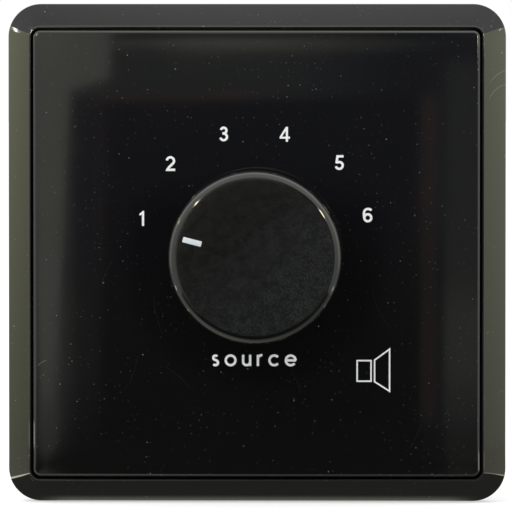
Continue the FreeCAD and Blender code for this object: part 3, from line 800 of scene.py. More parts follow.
def evaluated_mesh(thing):
    """Plain mesh of an object with its modifiers applied."""
    bpy.context.view_layer.update()
    return bpy.data.meshes.new_from_object(thing.evaluated_get(bpy.context.evaluated_depsgraph_get()))


def cut_away(mesh, cutter):
    """The mesh with a closed cutter's shape taken out of it."""
    body = linked_object("cut_body", mesh)
    tool = linked_object("cut_tool", cutter)
    modifier = body.modifiers.new("cut", "BOOLEAN")
    modifier.operation = "DIFFERENCE"
    modifier.solver = "EXACT"
    modifier.object = tool
    result = evaluated_mesh(body)
    for thing in (body, tool):
        bpy.data.objects.remove(thing)
    return result


# Cover frame and centre plate

SOFT_EDGE = 0.03 * MM


def cover_frame_mesh():
    """Outer frame: straight lip, sloped band, rim, ledge, and the recess and groove in its back."""
    sizes = bpy.context.scene.selector_cover_frame
    outer = half_width("cover_frame")
    top = levels("cover_frame")[1]
    ledge_top = levels("centre_plate")[0]
    ledge_back = levels("mounting_bridge")[1]
    groove_out = outer - sizes.rear_land
    groove_in = groove_out - sizes.groove_width
    window = sizes.opening_half - sizes.ledge_width
    groove_corner = sizes.corner_radius - sizes.rear_land
    inner_corner = groove_corner - sizes.groove_width
    foot_rounding = 4 * SOFT_EDGE
    corners = [
        (outer, 0.0, sizes.corner_radius, foot_rounding),
        (outer, sizes.lip, sizes.corner_radius, sizes.lip_rounding),
        (sizes.opening_half + sizes.rim_land, top, sizes.opening_corner + sizes.rim_land, sizes.rim_rounding),
        (sizes.opening_half, top, sizes.opening_corner, SOFT_EDGE),
        (sizes.opening_half, ledge_top, sizes.opening_corner, 0.0),
        (window, ledge_top, sizes.opening_corner, SOFT_EDGE),
        (window, ledge_back, sizes.opening_corner, SOFT_EDGE),
        (sizes.recess_half, ledge_back, sizes.recess_corner, 0.0),
        (sizes.recess_half, 0.0, sizes.recess_corner, SOFT_EDGE),
        (groove_in, 0.0, inner_corner, SOFT_EDGE),
        (groove_in, sizes.groove_depth, inner_corner, 0.0),
        (groove_out, sizes.groove_depth, groove_corner, 0.0),
        (groove_out, 0.0, groove_corner, SOFT_EDGE),
    ]
    shape = skinned([loop_at(square_loop(half, radius), level)
                     for half, level, radius in rounded_profile(corners)])
    for quarter in range(4):
        turn = Matrix.Rotation(quarter * math.pi / 2, 4, "Y")
        for step in (-1, 0, 1):
            middle = step * sizes.web_spacing
            web_top = sizes.groove_depth + SOFT_EDGE
            inner_end = at(middle - sizes.web_width / 2, groove_in - SOFT_EDGE, web_top)
            outer_end = at(middle + sizes.web_width / 2, groove_out + SOFT_EDGE, SOFT_EDGE)
            add_box(shape, inner_end, outer_end, turn)
    return mesh_from(shape, "cover_frame_shell")


def wave_height(x, z, height):
    """Slow, uneven waves of a moulded face: four sines, each some millimetres long."""
    across, up = x / MM, z / MM
    waves = (math.sin(across / 7.3 + 0.6 * math.sin(up / 11.0)),
             0.8 * math.sin(up / 6.1 + across / 19.0),
             0.5 * math.sin((across + up) / 4.3 + 1.0),
             0.4 * math.sin((across - 1.4 * up) / 3.1))
    return height * sum(waves) / (1.0 + 0.8 + 0.5 + 0.4)


def centre_plate_mesh():
    """Front plate with a rounded edge, a skirt round its back and a boss round the bushing's hole."""
    sizes = bpy.context.scene.selector_centre_plate
    outer = half_width("centre_plate")
    back, front = levels("centre_plate")
    under = front - sizes.thickness
    inner = outer - sizes.skirt_wall
    rounding = sizes.edge_rounding
    edge = arc(outer - rounding, front - rounding, rounding, 90, 0, steps=8)
    face_half = outer - rounding
    least_corner, least_rim_corner = 0.3 * MM, 0.2 * MM
    face_corner = max(sizes.corner_radius - rounding, least_corner)
    flat_rim = 0.12 * MM
    face_rim = square_loop(face_half - flat_rim, max(face_corner - flat_rim, least_rim_corner))
    hole = round_loop(sizes.hole_radius, face_rim)
    rings = 22
    rise_at_hole, fall_at_rim = 4, 6
    loops = []
    for ring in range(rings + 1):
        share = ring / rings
        height = sizes.waviness * min(1.0, rise_at_hole * share, fall_at_rim * (1 - share))
        places = [start.lerp(end, share) for start, end in zip(hole, face_rim)]
        loops.append([at(place.x, place.y, front + wave_height(place.x, place.y, height) - sizes.waviness)
                      for place in places])
    for half, level in edge:
        corner = face_corner + (half - face_half) / rounding * (sizes.corner_radius - face_corner)
        loops.append(loop_at(square_loop(half, corner), level))
    loops.append(loop_at(square_loop(outer, sizes.corner_radius), back))
    loops += [loop_at(square_loop(inner, sizes.skirt_corner), level) for level in (back, under)]
    loops += [loop_at(round_loop(sizes.boss_radius, face_rim), level) for level in (under, sizes.boss_level)]
    loops.append(loop_at(hole, sizes.boss_level))
    return mesh_from(skinned(loops), "centre_plate_face")


# Knob


def knob_mesh():
    """Hollow turned knob with a round shoulder and a pocket for the pointer."""
    sizes = bpy.context.scene.selector_knob
    base = half_width("knob_cap")
    back, front = levels("knob_cap")
    top = base - sizes.draft
    face = top - sizes.shoulder
    ceiling = front - sizes.front_wall
    inner = top - sizes.wall
    foot = sizes.base_rounding
    face_shares = (0.12, 0.35, 0.6, 0.8, 0.92)
    profile = [(face * share, front - sizes.face_dish * (1 - share ** 2)) for share in face_shares]
    profile += arc(face, front - sizes.shoulder, sizes.shoulder, 90, 0, steps=14)
    profile += arc(base - foot, back + foot, foot, 0, -90, steps=4)
    profile += [(inner, back), (inner, ceiling), (sizes.hub_radius, ceiling),
                (sizes.hub_radius, sizes.hub_level), (sizes.bore_radius, sizes.hub_level),
                (sizes.bore_radius, sizes.bore_end)]
    body = mesh_from(skinned(spun(profile, steps=144), capped=True), "knob_shell")
    return cut_away(body, pointer_mesh("pocket", wider=0.01 * MM, taller=0.2 * MM))


def pointer_mesh(name, wider=0.0, taller=0.0):
    """Bar in the knob's face, with rounded ends and a softened front edge."""
    sizes = bpy.context.scene.selector_knob
    back, front = levels("knob_pointer")
    front += taller
    half_long = sizes.pointer_length / 2 + wider
    half_wide = sizes.pointer_width / 2 + wider
    middle = sizes.pointer_reach - sizes.pointer_length / 2
    turn = Matrix.Rotation(-sizes.pointer_angle, 2)
    soft = 0.12 * MM
    bevel = 0.035 * MM
    corner_steps = 4

    def outline(shrink, level):
        """Loop round the bar, shrunk a little at its rounded corners."""
        places = []
        for corner, (right, up) in enumerate(((1, 1), (1, -1), (-1, -1), (-1, 1))):
            for step in range(corner_steps + 1):
                x, z = clock(math.pi / 2 * (step / corner_steps + corner), soft - shrink)
                x += right * (half_wide - soft)
                z += middle + up * (half_long - soft)
                places.append(turn @ Vector((x, z)))
        return loop_at(places, level)

    loops = [outline(0.0, back - wider), outline(0.0, front - bevel),
             outline(bevel * 0.3, front - bevel * 0.3), outline(bevel, front)]
    return mesh_from(skinned(loops, capped=True), name)


# Print

# Least cosine of half a bend, which keeps mitres short, and how far flat forms reach into the face below
MITRE_LIMIT = 0.3
BURIED = 0.02 * MM


def ribbon(path, width, closed=False):
    """Four-cornered patches along a centre line of constant width, with mitred bends."""
    points = [Vector(place) for place in path]
    count = len(points)
    sides = []
    for i, here in enumerate(points):
        before = points[i - 1] if closed or i else None
        after = points[(i + 1) % count] if closed or i < count - 1 else None
        ways = [here - before] if before else []
        ways += [after - here] if after else []
        ways = [way.normalized() for way in ways]
        along = sum(ways, Vector((0, 0))).normalized()
        across = Vector((-along.y, along.x))
        reach = width / 2 / max(MITRE_LIMIT, across.dot(Vector((-ways[0].y, ways[0].x))))
        sides.append((here + across * reach, here - across * reach))
    pairs = list(zip(sides, sides[1:]))
    if closed:
        pairs.append((sides[-1], sides[0]))
    return [[a, b, d, c] for (a, b), (c, d) in pairs]


# Each number is drawn up to 1.7 mm wide and 2.5 mm high, in millimetres from its lower left corner: first
# the centre lines of its strokes, then plain outlines. The print isn't quite even, so some numbers stand a
# little off their places.
NUMBERS = {
    "1": ([], [[(0.47, 0.0), (0.84, 0.0), (0.84, 2.5), (0.56, 2.5), (0.36, 2.25), (0.06, 2.06), (0.06, 1.74),
                (0.27, 1.80), (0.47, 1.93)]]),
    "2": ([arc(0.82, 1.68, 0.60, 172, -30) + [(1.12, 1.14), (0.62, 0.66), (0.32, 0.26)]],
          [[(0.03, 0.0), (1.62, 0.0), (1.62, 0.40), (0.20, 0.40), (0.03, 0.10)]]),
    "3": ([arc(0.79, 1.82, 0.46, 168, -90), arc(0.79, 0.75, 0.55, 90, -166),
           [(0.58, 1.33), (0.84, 1.33)]], []),
    "4": ([], [[(1.02, 0.0), (1.39, 0.0), (1.39, 2.5), (1.02, 2.5)], [(0.0, 0.52), (1.70, 0.52), (1.70, 0.86),
                (0.0, 0.86)], [(0.0, 0.84), (0.38, 0.84), (1.10, 1.98), (1.10, 2.5), (1.04, 2.5)]]),
    "5": ([arc(0.79, 0.79, 0.57, 138, -165)],
          [[(0.36, 2.10), (1.50, 2.10), (1.50, 2.5), (0.32, 2.5)],
           [(0.13, 1.18), (0.52, 1.10), (0.70, 2.2), (0.60, 2.48), (0.32, 2.5)]]),
    "6": ([arc(0.84, 0.79, 0.58, 0, 360), arc(0.89, 1.58, 0.69, 38, 176) + [(0.21, 1.20), (0.26, 0.80)]], []),
}
NUMBER_HEIGHT = 2.5
NUMBER_SHIFTS = {"2": (-0.16, 0.27), "4": (0.0, -0.22), "5": (0.20, 0.0), "6": (-0.29, 0.0)}

# Letters of the word, in the same way: advance width, centre lines. Small letters are 1.7 mm high.
LETTERS = {
    "s": (1.06, [arc(0.53, 1.25, 0.33, 38, 250) + arc(0.53, 0.50, 0.37, 70, -145)]),
    "o": (1.72, [arc(0.86, 0.86, 0.73, 0, 360)]),
    "u": (1.34, [[(0.14, 1.70), (0.14, 0.66)] + arc(0.67, 0.66, 0.53, 190, 350) + [(1.20, 0.66)],
                 [(1.20, 1.70), (1.20, 0.0)]]),
    "r": (0.86, [[(0.14, 0.0), (0.14, 1.70)], arc(0.72, 1.06, 0.58, 178, 82)]),
    "c": (1.58, [arc(0.86, 0.86, 0.73, 42, 318)]),
    "e": (1.72, [arc(0.86, 0.86, 0.73, 0, 322), [(0.13, 0.86), (1.66, 0.86)]]),
}
LETTER_HEIGHT = 1.7
WORD = "source"


def flat_mesh(name, patches, front, back):
    """Thin plate between two levels from flat patches in metres on the wall, joined where they overlap."""
    corners = []
    faces = []
    for patch in patches:
        faces.append(list(range(len(corners), len(corners) + len(patch))))
        corners += [Vector(place) / MM for place in patch]
    inside_only, nearest = 1, 1e-5
    places, _, triangles, _, _, sources = delaunay_2d_cdt(corners, [], faces, inside_only, nearest)
    shape = bmesh.new()
    verts = [shape.verts.new(at(place.x * MM, place.y * MM, front)) for place in places]
    for triangle, source in zip(triangles, sources):
        if source:
            shape.faces.new([verts[i] for i in triangle])
    loose = [vert for vert in shape.verts if not vert.link_faces]
    bmesh.ops.delete(shape, geom=loose, context="VERTS")
    copied = bmesh.ops.extrude_face_region(shape, geom=list(shape.faces))
    lowered = [part for part in copied["geom"] if isinstance(part, bmesh.types.BMVert)]
    bmesh.ops.translate(shape, verts=lowered, vec=(0, front - back, 0))
    return mesh_from(shape, name)


def ink_mesh(name, patches):
    """Slightly raised print on the centre plate, its back hidden in the plate."""
    front = levels("centre_plate")[1]
    buried = 2 * bpy.context.scene.selector_centre_plate.waviness + BURIED
    return flat_mesh(name, patches, front + bpy.context.scene.selector_print.thickness, front - buried)


def moved(patches, x, z, scale=MM):
    """Patches in drawing units, set at a place on the wall."""
    return [[(x + aside * scale, z + up * scale) for aside, up in patch] for patch in patches]


def number_patches():
    """All numbers, each centred on its place on the dial."""
    sizes = bpy.context.scene.selector_print
    scale = sizes.number_scale * MM
    patches = []
    for index, (digit, (strokes, outlines)) in enumerate(NUMBERS.items()):
        drawn = [patch for stroke in strokes for patch in ribbon(stroke, sizes.number_stroke / scale)]
        drawn += outlines
        across = [place[0] for patch in drawn for place in patch]
        middle = (max(across) + min(across)) / 2
        turn = (index - (len(NUMBERS) - 1) / 2) * sizes.dial_step + sizes.dial_turn
        x, z = clock(turn, sizes.dial_radius)
        aside, up = NUMBER_SHIFTS.get(digit, (0.0, 0.0))
        patches += moved(drawn, sizes.dial_x + x + aside * MM - middle * scale,
                         sizes.dial_z + z + up * MM - NUMBER_HEIGHT / 2 * scale, scale)
    return patches


def word_patches():
    """The word under the knob, one letter after the other."""
    sizes = bpy.context.scene.selector_print
    scale = sizes.word_scale * MM
    total = sum(LETTERS[letter][0] for letter in WORD) * scale + sizes.word_gap * (len(WORD) - 1)
    x = sizes.word_x - total / 2
    z = sizes.word_z - LETTER_HEIGHT / 2 * scale
    patches = []
    for letter in WORD:
        advance, strokes = LETTERS[letter]
        for stroke in strokes:
            patches += moved(ribbon(stroke, sizes.word_stroke / scale), x, z, scale)
        x += advance * scale + sizes.word_gap
    return patches


def sign_patches():
    """Outline of a loudspeaker, a box and a horn, in millimetres from the sign's middle."""
    sizes = bpy.context.scene.selector_print
    box = [(-2.61, -1.80), (-0.38, -1.80), (-0.38, 1.50), (-2.61, 1.50)]
    horn = [(0.18, -1.88), (2.58, -3.40), (2.58, 3.34), (0.18, 1.58)]
    drawn = []
    for outline in (box, horn):
        drawn += ribbon(outline, sizes.sign_stroke / MM, closed=True)
    return moved(drawn, sizes.sign_x, sizes.sign_z)


# Repeated small parts


def parts_tree(name, **kinds):
    """Geometry tree that repeats a part, with named inputs of given kinds, and its inputs' values by name."""
    tree = bpy.data.node_groups.new(name, "GeometryNodeTree")
    inputs = {"Part": "Object", "Material": "Material", "Level": "Float", **kinds}
    inputs = {label.replace("_", " "): "NodeSocket" + kind for label, kind in inputs.items()}
    for label, kind in inputs.items():
        tree.interface.new_socket(name=label, in_out="INPUT", socket_type=kind)
    tree.interface.new_socket(name="Geometry", in_out="OUTPUT", socket_type="NodeSocketGeometry")
    entry = tree.nodes.new("NodeGroupInput")
    return tree, {label: Value(entry.outputs[label]) for label in inputs}


def finish_parts_tree(tree, inputs, points):
    """Instances of the part on the points, lifted to their level, made real and given their material."""
    part = take(tree, "GeometryNodeObjectInfo", "Geometry", Object=inputs["Part"])
    copies = take(tree, "GeometryNodeInstanceOnPoints", "Instances", Points=points, Instance=part)
    shift = take(tree, "ShaderNodeCombineXYZ", "Vector", Y=inputs["Level"] * -1.0)
    lifted = take(tree, "GeometryNodeSetPosition", "Geometry", Geometry=copies, Offset=shift)
    real = take(tree, "GeometryNodeRealizeInstances", "Geometry", Geometry=lifted)
    coated = take(tree, "GeometryNodeSetMaterial", "Geometry", Geometry=real, Material=inputs["Material"])
    give(tree.nodes.new("NodeGroupOutput"), Geometry=coated)
    return tree


def rows_tree():
    """Two rows of like parts, one above and one below the middle."""
    tree, inputs = parts_tree("Rows of parts", Pitch="Float", Row_distance="Float", Ways="Int")
    ways = inputs["Ways"]
    grid = take(tree, "GeometryNodeMeshGrid", "Mesh", Size_X=(ways - 1.0) * inputs["Pitch"],
                Size_Y=inputs["Row distance"] * 2.0, Vertices_X=ways, Vertices_Y=2)
    stood = take(tree, "GeometryNodeTransform", "Geometry", Geometry=grid, Rotation=(math.pi / 2, 0.0, 0.0))
    return finish_parts_tree(tree, inputs, stood)


def ring_tree():
    """Like parts at equal angles round the knob's axis."""
    tree, inputs = parts_tree("Ring of parts", Radius="Float", First_angle="Float", Count="Int")
    count = inputs["Count"]
    turn = take(tree, "GeometryNodeInputIndex", "Index") * (math.tau / count) + inputs["First angle"]
    place = take(tree, "ShaderNodeCombineXYZ", "Vector", X=calc("SINE", turn) * inputs["Radius"],
                 Z=calc("COSINE", turn) * inputs["Radius"])
    points = take(tree, "GeometryNodePoints", 0, Count=count, Position=place)
    return finish_parts_tree(tree, inputs, points)


def repeat(tree, part_mesh, material, **values):
    """Mesh of a part repeated by a geometry tree whose inputs are given by name."""
    part = linked_object("repeated_part", part_mesh)
    carrier = linked_object("carrier", bpy.data.meshes.new("carrier"))
    modifier = carrier.modifiers.new("repeat", "NODES")
    modifier.node_group = tree
    settings = {"Part": part, "Material": material, **values}
    for socket in tree.interface.items_tree:
        if socket.in_out == "INPUT":
            modifier[socket.identifier] = settings[socket.name.replace(" ", "_")]
    result = evaluated_mesh(carrier)
    carrier.modifiers.remove(modifier)
    for thing in (part, carrier):
        bpy.data.objects.remove(thing)
    return result


def joined(meshes, name):
    """One mesh from several."""
    shape = bmesh.new()
    for mesh in meshes:
        shape.from_mesh(mesh)
    result = bpy.data.meshes.new(name)
    shape.to_mesh(result)
    shape.free()
    return result


def terminal_screw_mesh():
    """Slotted cheese-head screw with its head to the back, at level 0 where head and thread meet."""
    sizes = bpy.context.scene.selector_terminals
    low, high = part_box("terminal_screws")
    thread = (high.y - low.y) - sizes.head_height
    crest = sizes.shank_radius
    root = 0.84 * crest
    tip = 0.72 * crest
    head = sizes.head_radius
    soft = 0.22 * MM
    turns = 5
    pitch = thread / (turns + 0.5)
    profile = [(tip, thread)]
    for turn in range(turns):
        level = thread - pitch * (turn + 0.4)
        profile += [(crest, level), (root, level - pitch * 0.5)]
    profile += [(root, 0.0), (head - soft * 0.5, 0.0), (head, -soft * 0.5)]
    profile += arc(head - soft, -sizes.head_height + soft, soft, 0, -90, steps=4)
    body = mesh_from(skinned(spun(profile, steps=28), capped=True), "terminal_screw")
    slot = bmesh.new()
    beyond = 0.3 * MM
    add_box(slot, at(-2 * head, -sizes.slot_width / 2, -sizes.head_height + sizes.slot_depth),
            at(2 * head, sizes.slot_width / 2, -sizes.head_height - beyond))
    return cut_away(body, mesh_from(slot, "slot"))


def solder_mesh(direction):
    """Hollow-sided solder cone on a pin. Direction is 1 out of the wall and -1 into it."""
    sizes = bpy.context.scene.selector_terminals
    rise = direction * sizes.solder_height
    foot = sizes.solder_radius
    tip = sizes.pin_radius + 0.1 * MM
    bore = 0.9 * sizes.pin_radius
    flange = foot + 0.25 * MM
    tinned = direction * (sizes.track_height + 0.01 * MM)
    profile = [(flange, 0.0), (flange, tinned), (foot, tinned)]
    steps = 6
    for step in range(1, steps + 1):
        share = step / steps
        radius = foot + (tip - foot) * math.sin(share * math.pi / 2) ** 0.8
        profile.append((radius, rise * share ** 1.5))
    profile += [(bore, rise), (bore, 0.0)]
    return mesh_from(skinned(spun(profile, steps=20)), "solder")


def track_patches():
    """Copper tracks from the switch's pins to the terminals, the same above and, half a turn on, below.

    Each side's middle terminal belongs to its common pin, and the others to its contacts.
    """
    sizes = bpy.context.scene.selector_terminals
    contacts_each = sizes.contact_count // 2
    paths = [[(0.0, sizes.common_distance), (0.0, sizes.row_distance)]]
    for index in range(contacts_each):
        x, z = clock(sizes.first_contact + index * math.tau / sizes.contact_count, sizes.contact_distance)
        way = index - contacts_each // 2
        if way >= 0:
            way += 1
        terminal = way * sizes.pitch
        paths.append([(x, z), (terminal, z + abs(terminal) - abs(x)), (terminal, sizes.row_distance)])
    pad = arc(0.0, 0.0, sizes.pad_radius, 0, 345, steps=23)
    patches = []
    for side in (1, -1):
        for path in paths:
            path = [(side * x, side * z) for x, z in path]
            patches += ribbon(path, sizes.track_width)
            for x, z in (path[0], path[-1]):
                patches.append([(x + aside, z + up) for aside, up in pad])
    return patches


def grooved_block_mesh(node):
    """Terminal block of the frame with a groove round it between every two ways."""
    sizes = bpy.context.scene.selector_terminals
    low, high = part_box(node)
    depth = sizes.groove_depth
    ungrooved_front = 1.0 * MM
    front = low.y + ungrooved_front
    over = 0.1 * MM
    corner = sizes.block_chamfer + depth * math.tan(math.pi / 8)
    outline = [(front, low.z - over), (high.y + over, low.z - over), (high.y + over, high.z + over),
               (front, high.z + over), (front, high.z - depth), (high.y - corner, high.z - depth),
               (high.y - depth, high.z - corner), (high.y - depth, low.z + corner),
               (high.y - corner, low.z + depth), (front, low.z + depth)]
    cutters = bmesh.new()
    for way in range(1, sizes.ways):
        middle = (way - sizes.ways / 2) * sizes.pitch
        ends = [[cutters.verts.new((middle + half, y, z)) for y, z in outline]
                for half in (-sizes.groove_width / 2, sizes.groove_width / 2)]
        for end in ends:
            cutters.faces.new(end)
        for i in range(len(outline)):
            j = (i + 1) % len(outline)
            cutters.faces.new((ends[0][i], ends[0][j], ends[1][j], ends[1][i]))
    shape = bmesh.new()
    shape.from_mesh(frame["nodes"][node].data)
    return cut_away(mesh_from(shape, node + "_body"), mesh_from(cutters, "grooves"))


# Operators


class SELECTOR_OT_cover_frame(bpy.types.Operator):
    """Build the glossy outer frame with its sloped band"""
    bl_idname = "selector.cover_frame"
    bl_label = "Cover frame"

    def execute(self, context):
        finish_piece("cover_frame_shell", cover_frame_mesh(), "gloss_black", "wall_unit", ("cover_frame",),
                     sharp=28.0)
        return {"FINISHED"}


class SELECTOR_OT_centre_plate(bpy.types.Operator):
    """Build the glossy centre plate"""
    bl_idname = "selector.centre_plate"
    bl_label = "Centre plate"

    def execute(self, context):
        finish_piece("centre_plate_face", centre_plate_mesh(), "gloss_black", "wall_unit", ("centre_plate",),
                     sharp=40.0)
        return {"FINISHED"}


class SELECTOR_OT_dial_print(bpy.types.Operator):
    """Print the numbers, the word and the loudspeaker sign on the plate"""
    bl_idname = "selector.dial_print"
    bl_label = "Dial print"

    def execute(self, context):
        for name, patches in (("dial_numbers", number_patches()), ("dial_word", word_patches()),
                              ("loudspeaker_sign", sign_patches())):
            finish_piece(name, ink_mesh(name, patches), "marking_white", "wall_unit")
        return {"FINISHED"}


class SELECTOR_OT_knob(bpy.types.Operator):
    """Build the knob and the white bar in its face"""
    bl_idname = "selector.knob"
    bl_label = "Knob"

    def execute(self, context):
        finish_piece("knob_shell", knob_mesh(), "knob_black", "knob", ("knob_cap",))
        finish_piece("pointer_bar", pointer_mesh("pointer_bar"), "marking_white", "knob", ("knob_pointer",),
                     look="pointer_white")
        return {"FINISHED"}


class SELECTOR_OT_terminal_blocks(bpy.types.Operator):
    """Build the terminal blocks with grooves between their ways"""
    bl_idname = "selector.terminal_blocks"
    bl_label = "Terminal blocks"

    def execute(self, context):
        for node in ("terminal_block_upper", "terminal_block_lower"):
            finish_piece(node + "_body", grooved_block_mesh(node), "terminal_green", "wall_unit", (node,))
        return {"FINISHED"}


class SELECTOR_OT_terminal_screws(bpy.types.Operator):
    """Build the rows of terminal screws"""
    bl_idname = "selector.terminal_screws"
    bl_label = "Terminal screws"

    def execute(self, context):
        sizes = context.scene.selector_terminals
        screws_back = levels("terminal_screws")[0]
        mesh = repeat(rows_tree(), terminal_screw_mesh(), finish("screw_steel"), Ways=sizes.ways,
                      Pitch=sizes.pitch, Row_distance=sizes.row_distance,
                      Level=screws_back + sizes.head_height)
        finish_piece("terminal_screw_rows", mesh, "screw_steel", "wall_unit", ("terminal_screws",))
        return {"FINISHED"}


class SELECTOR_OT_board_tracks(bpy.types.Operator):
    """Build the tracks on the back of the board"""
    bl_idname = "selector.board_tracks"
    bl_label = "Board tracks"

    def execute(self, context):
        board_back = levels("circuit_board")[0]
        height = context.scene.selector_terminals.track_height
        mesh = flat_mesh("board_tracks", track_patches(), board_back + BURIED, board_back - height)
        finish_piece("board_tracks", mesh, "board_green", "wall_unit")
        return {"FINISHED"}


class SELECTOR_OT_solder_joints(bpy.types.Operator):
    """Build the solder joints on both sides of the board"""
    bl_idname = "selector.solder_joints"
    bl_label = "Solder joints"

    def execute(self, context):
        sizes = context.scene.selector_terminals
        back, front = levels("circuit_board")
        material = finish("solder")
        ring = ring_tree()
        meshes = [
            repeat(rows_tree(), solder_mesh(1), material, Ways=sizes.ways, Pitch=sizes.pitch,
                   Row_distance=sizes.row_distance, Level=front),
            repeat(ring, solder_mesh(-1), material, Count=sizes.contact_count, Radius=sizes.contact_distance,
                   First_angle=sizes.first_contact, Level=back),
            repeat(ring, solder_mesh(-1), material, Count=2, Radius=sizes.common_distance, First_angle=0.0,
                   Level=back),
        ]
        finish_piece("solder_fillets", joined(meshes, "solder_fillets"), "solder", "wall_unit",
                     ("solder_joints",))
        return {"FINISHED"}


class SELECTOR_OT_carried_parts(bpy.types.Operator):
    """Give the parts that keep their frame mesh their finishes"""
    bl_idname = "selector.carried_parts"
    bl_label = "Finishes of the other parts"

    def execute(self, context):
        slots = {part["node"]: part["material_slot"] for part in frame["record"]["subparts"]}
        for name, node in frame["nodes"].items():
            if not node.material_slots:
                raise RuntimeError(name + " has no material slot")
            for place in node.material_slots:
                place.material = finish("pointer_white" if name == "knob_pointer" else slots[name])
        return {"FINISHED"}


class SELECTOR_OT_stage(bpy.types.Operator):
    """Set up the floor, the surroundings, the lamps, the front card and the camera"""
    bl_idname = "selector.stage"
    bl_label = "Stage"

    def execute(self, context):
        build_world(context.scene)
        build_floor()
        build_front_card()
        build_side_panels()
        build_light_tent()
        build_key_light(context.scene)
        build_camera(context.scene)
        build_sparks()
        context.scene.view_settings.view_transform = "Standard"
        return {"FINISHED"}


# Stage

WHITE = (1.0, 1.0, 1.0, 1.0)
FLOOR_RADIUS = 3.0
FLOOR_GREY = (0.82, 0.82, 0.82, 1.0)
FLOOR_GLOW = 0.45
# How far the floor, and the foot of the card in front, lie below the object
FLOOR_GAP = 0.05 * MM
CARD_GAP = 0.03 * MM
LAMP_PLACE = (-0.55, -0.75, 0.75)
LAMP_SIZE = 0.5
SENSOR_WIDTH = 36.0
CLIP_RANGE = (0.01, 20.0)


def seen_rays(tree):
    """1 for what the camera sees straight, mirrored or through glass, and 0 for light on other things."""
    path = add(tree, "ShaderNodeLightPath")
    return largest(*(Value(path.outputs[f"Is {ray} Ray"]) for ray in ("Camera", "Glossy", "Transmission")))


def build_world(scene):
    """White surroundings: pure white for the camera and in reflections, a little dimmer as light."""
    world = bpy.data.worlds.new("studio")
    scene.world = world
    world.use_nodes = True
    level = scene.selector_stage.world_light
    give(world.node_tree.nodes["Background"], Color=WHITE,
         Strength=seen_rays(world.node_tree) * (1.0 - level) + level)


def stage_material(name):
    """Material without a shader: itself, its tree and the socket for what it shows."""
    material = bpy.data.materials.new(name)
    material.use_nodes = True
    tree = material.node_tree
    tree.nodes.remove(tree.nodes["Principled BSDF"])
    return material, tree, tree.nodes["Material Output"].inputs["Surface"]


def stage_object(name, shape, material):
    """Object from a bmesh and a material."""
    mesh = bpy.data.meshes.new(name)
    shape.to_mesh(mesh)
    shape.free()
    mesh.materials.append(material)
    return linked_object(name, mesh)


def build_floor():
    """Pale floor that the frame's lower edge stands on. It shows white, but keeps the object's shadow."""
    low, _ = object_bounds()
    shape = bmesh.new()
    bmesh.ops.create_circle(shape, cap_ends=True, radius=FLOOR_RADIUS, segments=96,
                            matrix=Matrix.Translation((0, 0, low.z - FLOOR_GAP)))
    material, tree, surface = stage_material("floor_white")
    matt = take(tree, "ShaderNodeBsdfDiffuse", "BSDF", Color=FLOOR_GREY)
    glow = take(tree, "ShaderNodeEmission", "Emission", Color=WHITE, Strength=seen_rays(tree) * FLOOR_GLOW)
    both = tree.nodes.new("ShaderNodeAddShader")
    for socket, shader in zip(both.inputs, (matt, glow)):
        feed(socket, shader)
    feed(surface, Value(both.outputs["Shader"]))
    stage_object("floor", shape, material)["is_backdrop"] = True


def sheet(rows):
    """Open bmesh of faces between rows of equally many points."""
    shape = bmesh.new()
    rows = [[shape.verts.new(point) for point in row] for row in rows]
    for first, second in zip(rows, rows[1:]):
        for i in range(len(first) - 1):
            shape.faces.new((first[i], first[i + 1], second[i + 1], second[i]))
    return shape


def reflected_piece(name, rows, tones):
    """Glowing sheet that only reflections show. Its tones are a tint and a strength, or a function of its
    coordinates that gives them.
    """
    material, tree, surface = stage_material(name)
    tint, strength = tones(*split(object_place(tree))) if callable(tones) else tones
    feed(surface, take(tree, "ShaderNodeEmission", "Emission", Strength=strength,
                       Color=tint if isinstance(tint, Value) else (*tint, 1.0)))
    piece = stage_object(name, sheet(rows), material)
    for ray in ("camera", "diffuse", "shadow", "transmission", "volume_scatter"):
        setattr(piece, "visible_" + ray, False)
    piece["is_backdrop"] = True


# Reflections in the polished front: each tone is a formula of places in metres, and of brightness from 0 to 1


def floor_tones(x, y):
    """Strips on the floor that the frame's lower edge and corners and the knob's underside show."""
    aside = abs(x)
    beneath = spread(aside * 0.45 + y, -0.047, -0.031, 0.04, 0.9) * fading(y, -0.014, -0.009)
    beneath *= spread(x, -0.03, 0.03, 1.35, 0.75)
    edge = spread(y, -0.0031, -0.0019, 0.0, 0.75) * fading(aside, 0.030, 0.036)
    beyond = aside - spread(x, -0.001, 0.001, 0.0490, 0.0536)
    side = spread(beyond, -0.0006, 0.0006, 0.14, 0.66)
    line = fading(abs(beyond), 0.0008, 0.0015) * spread(x, -0.001, 0.001, 5.0, 3.4)
    return beneath + spread(y, -0.016, -0.009) * (edge + largest(side, line))


def left_glow(x, y, z):
    """Pale strip at the plate's left edge, slightly slanted, with a fainter one beside it."""
    slanted = (0.022 - z) * 0.048 + x - spread(z, -0.0385, -0.029, 0.0012, 0.0)
    strip = spread(slanted, -0.0344, -0.0328, 0.99, 0.0)
    beside = spread(x, -0.0338, -0.0326, 0.28, 0.15) * fading(x, -0.0290, -0.0272)
    lower = spread(z, -0.0400, -0.024, 0.48, 1.0) * spread(y, -0.148, -0.075, 1.0, 0.22, smooth=False)
    return largest(strip, beside) * lower


def right_glow(x, y, z):
    """Faint strip at the plate's right edge, brighter in one place, and a fainter one within it."""
    bulge = spread(z, -0.034, -0.024) * fading(z, -0.018, -0.008)
    strip = spread(x, 0.0325, 0.0348, 0.0, 0.29) * spread(z, 0.027, 0.032, 1.0, 0.45) * (bulge * 0.5 + 1.0)
    within = spread(x, 0.0284, 0.0302) * spread(z, -0.012, 0.006, 0.12, 0.20) * fading(z, 0.0225, 0.0245)
    lower = spread(z, -0.0395, -0.033, 0.6, 1.0) * spread(y, -0.13, -0.06, 1.0, 0.30)
    return largest(within, strip) * lower


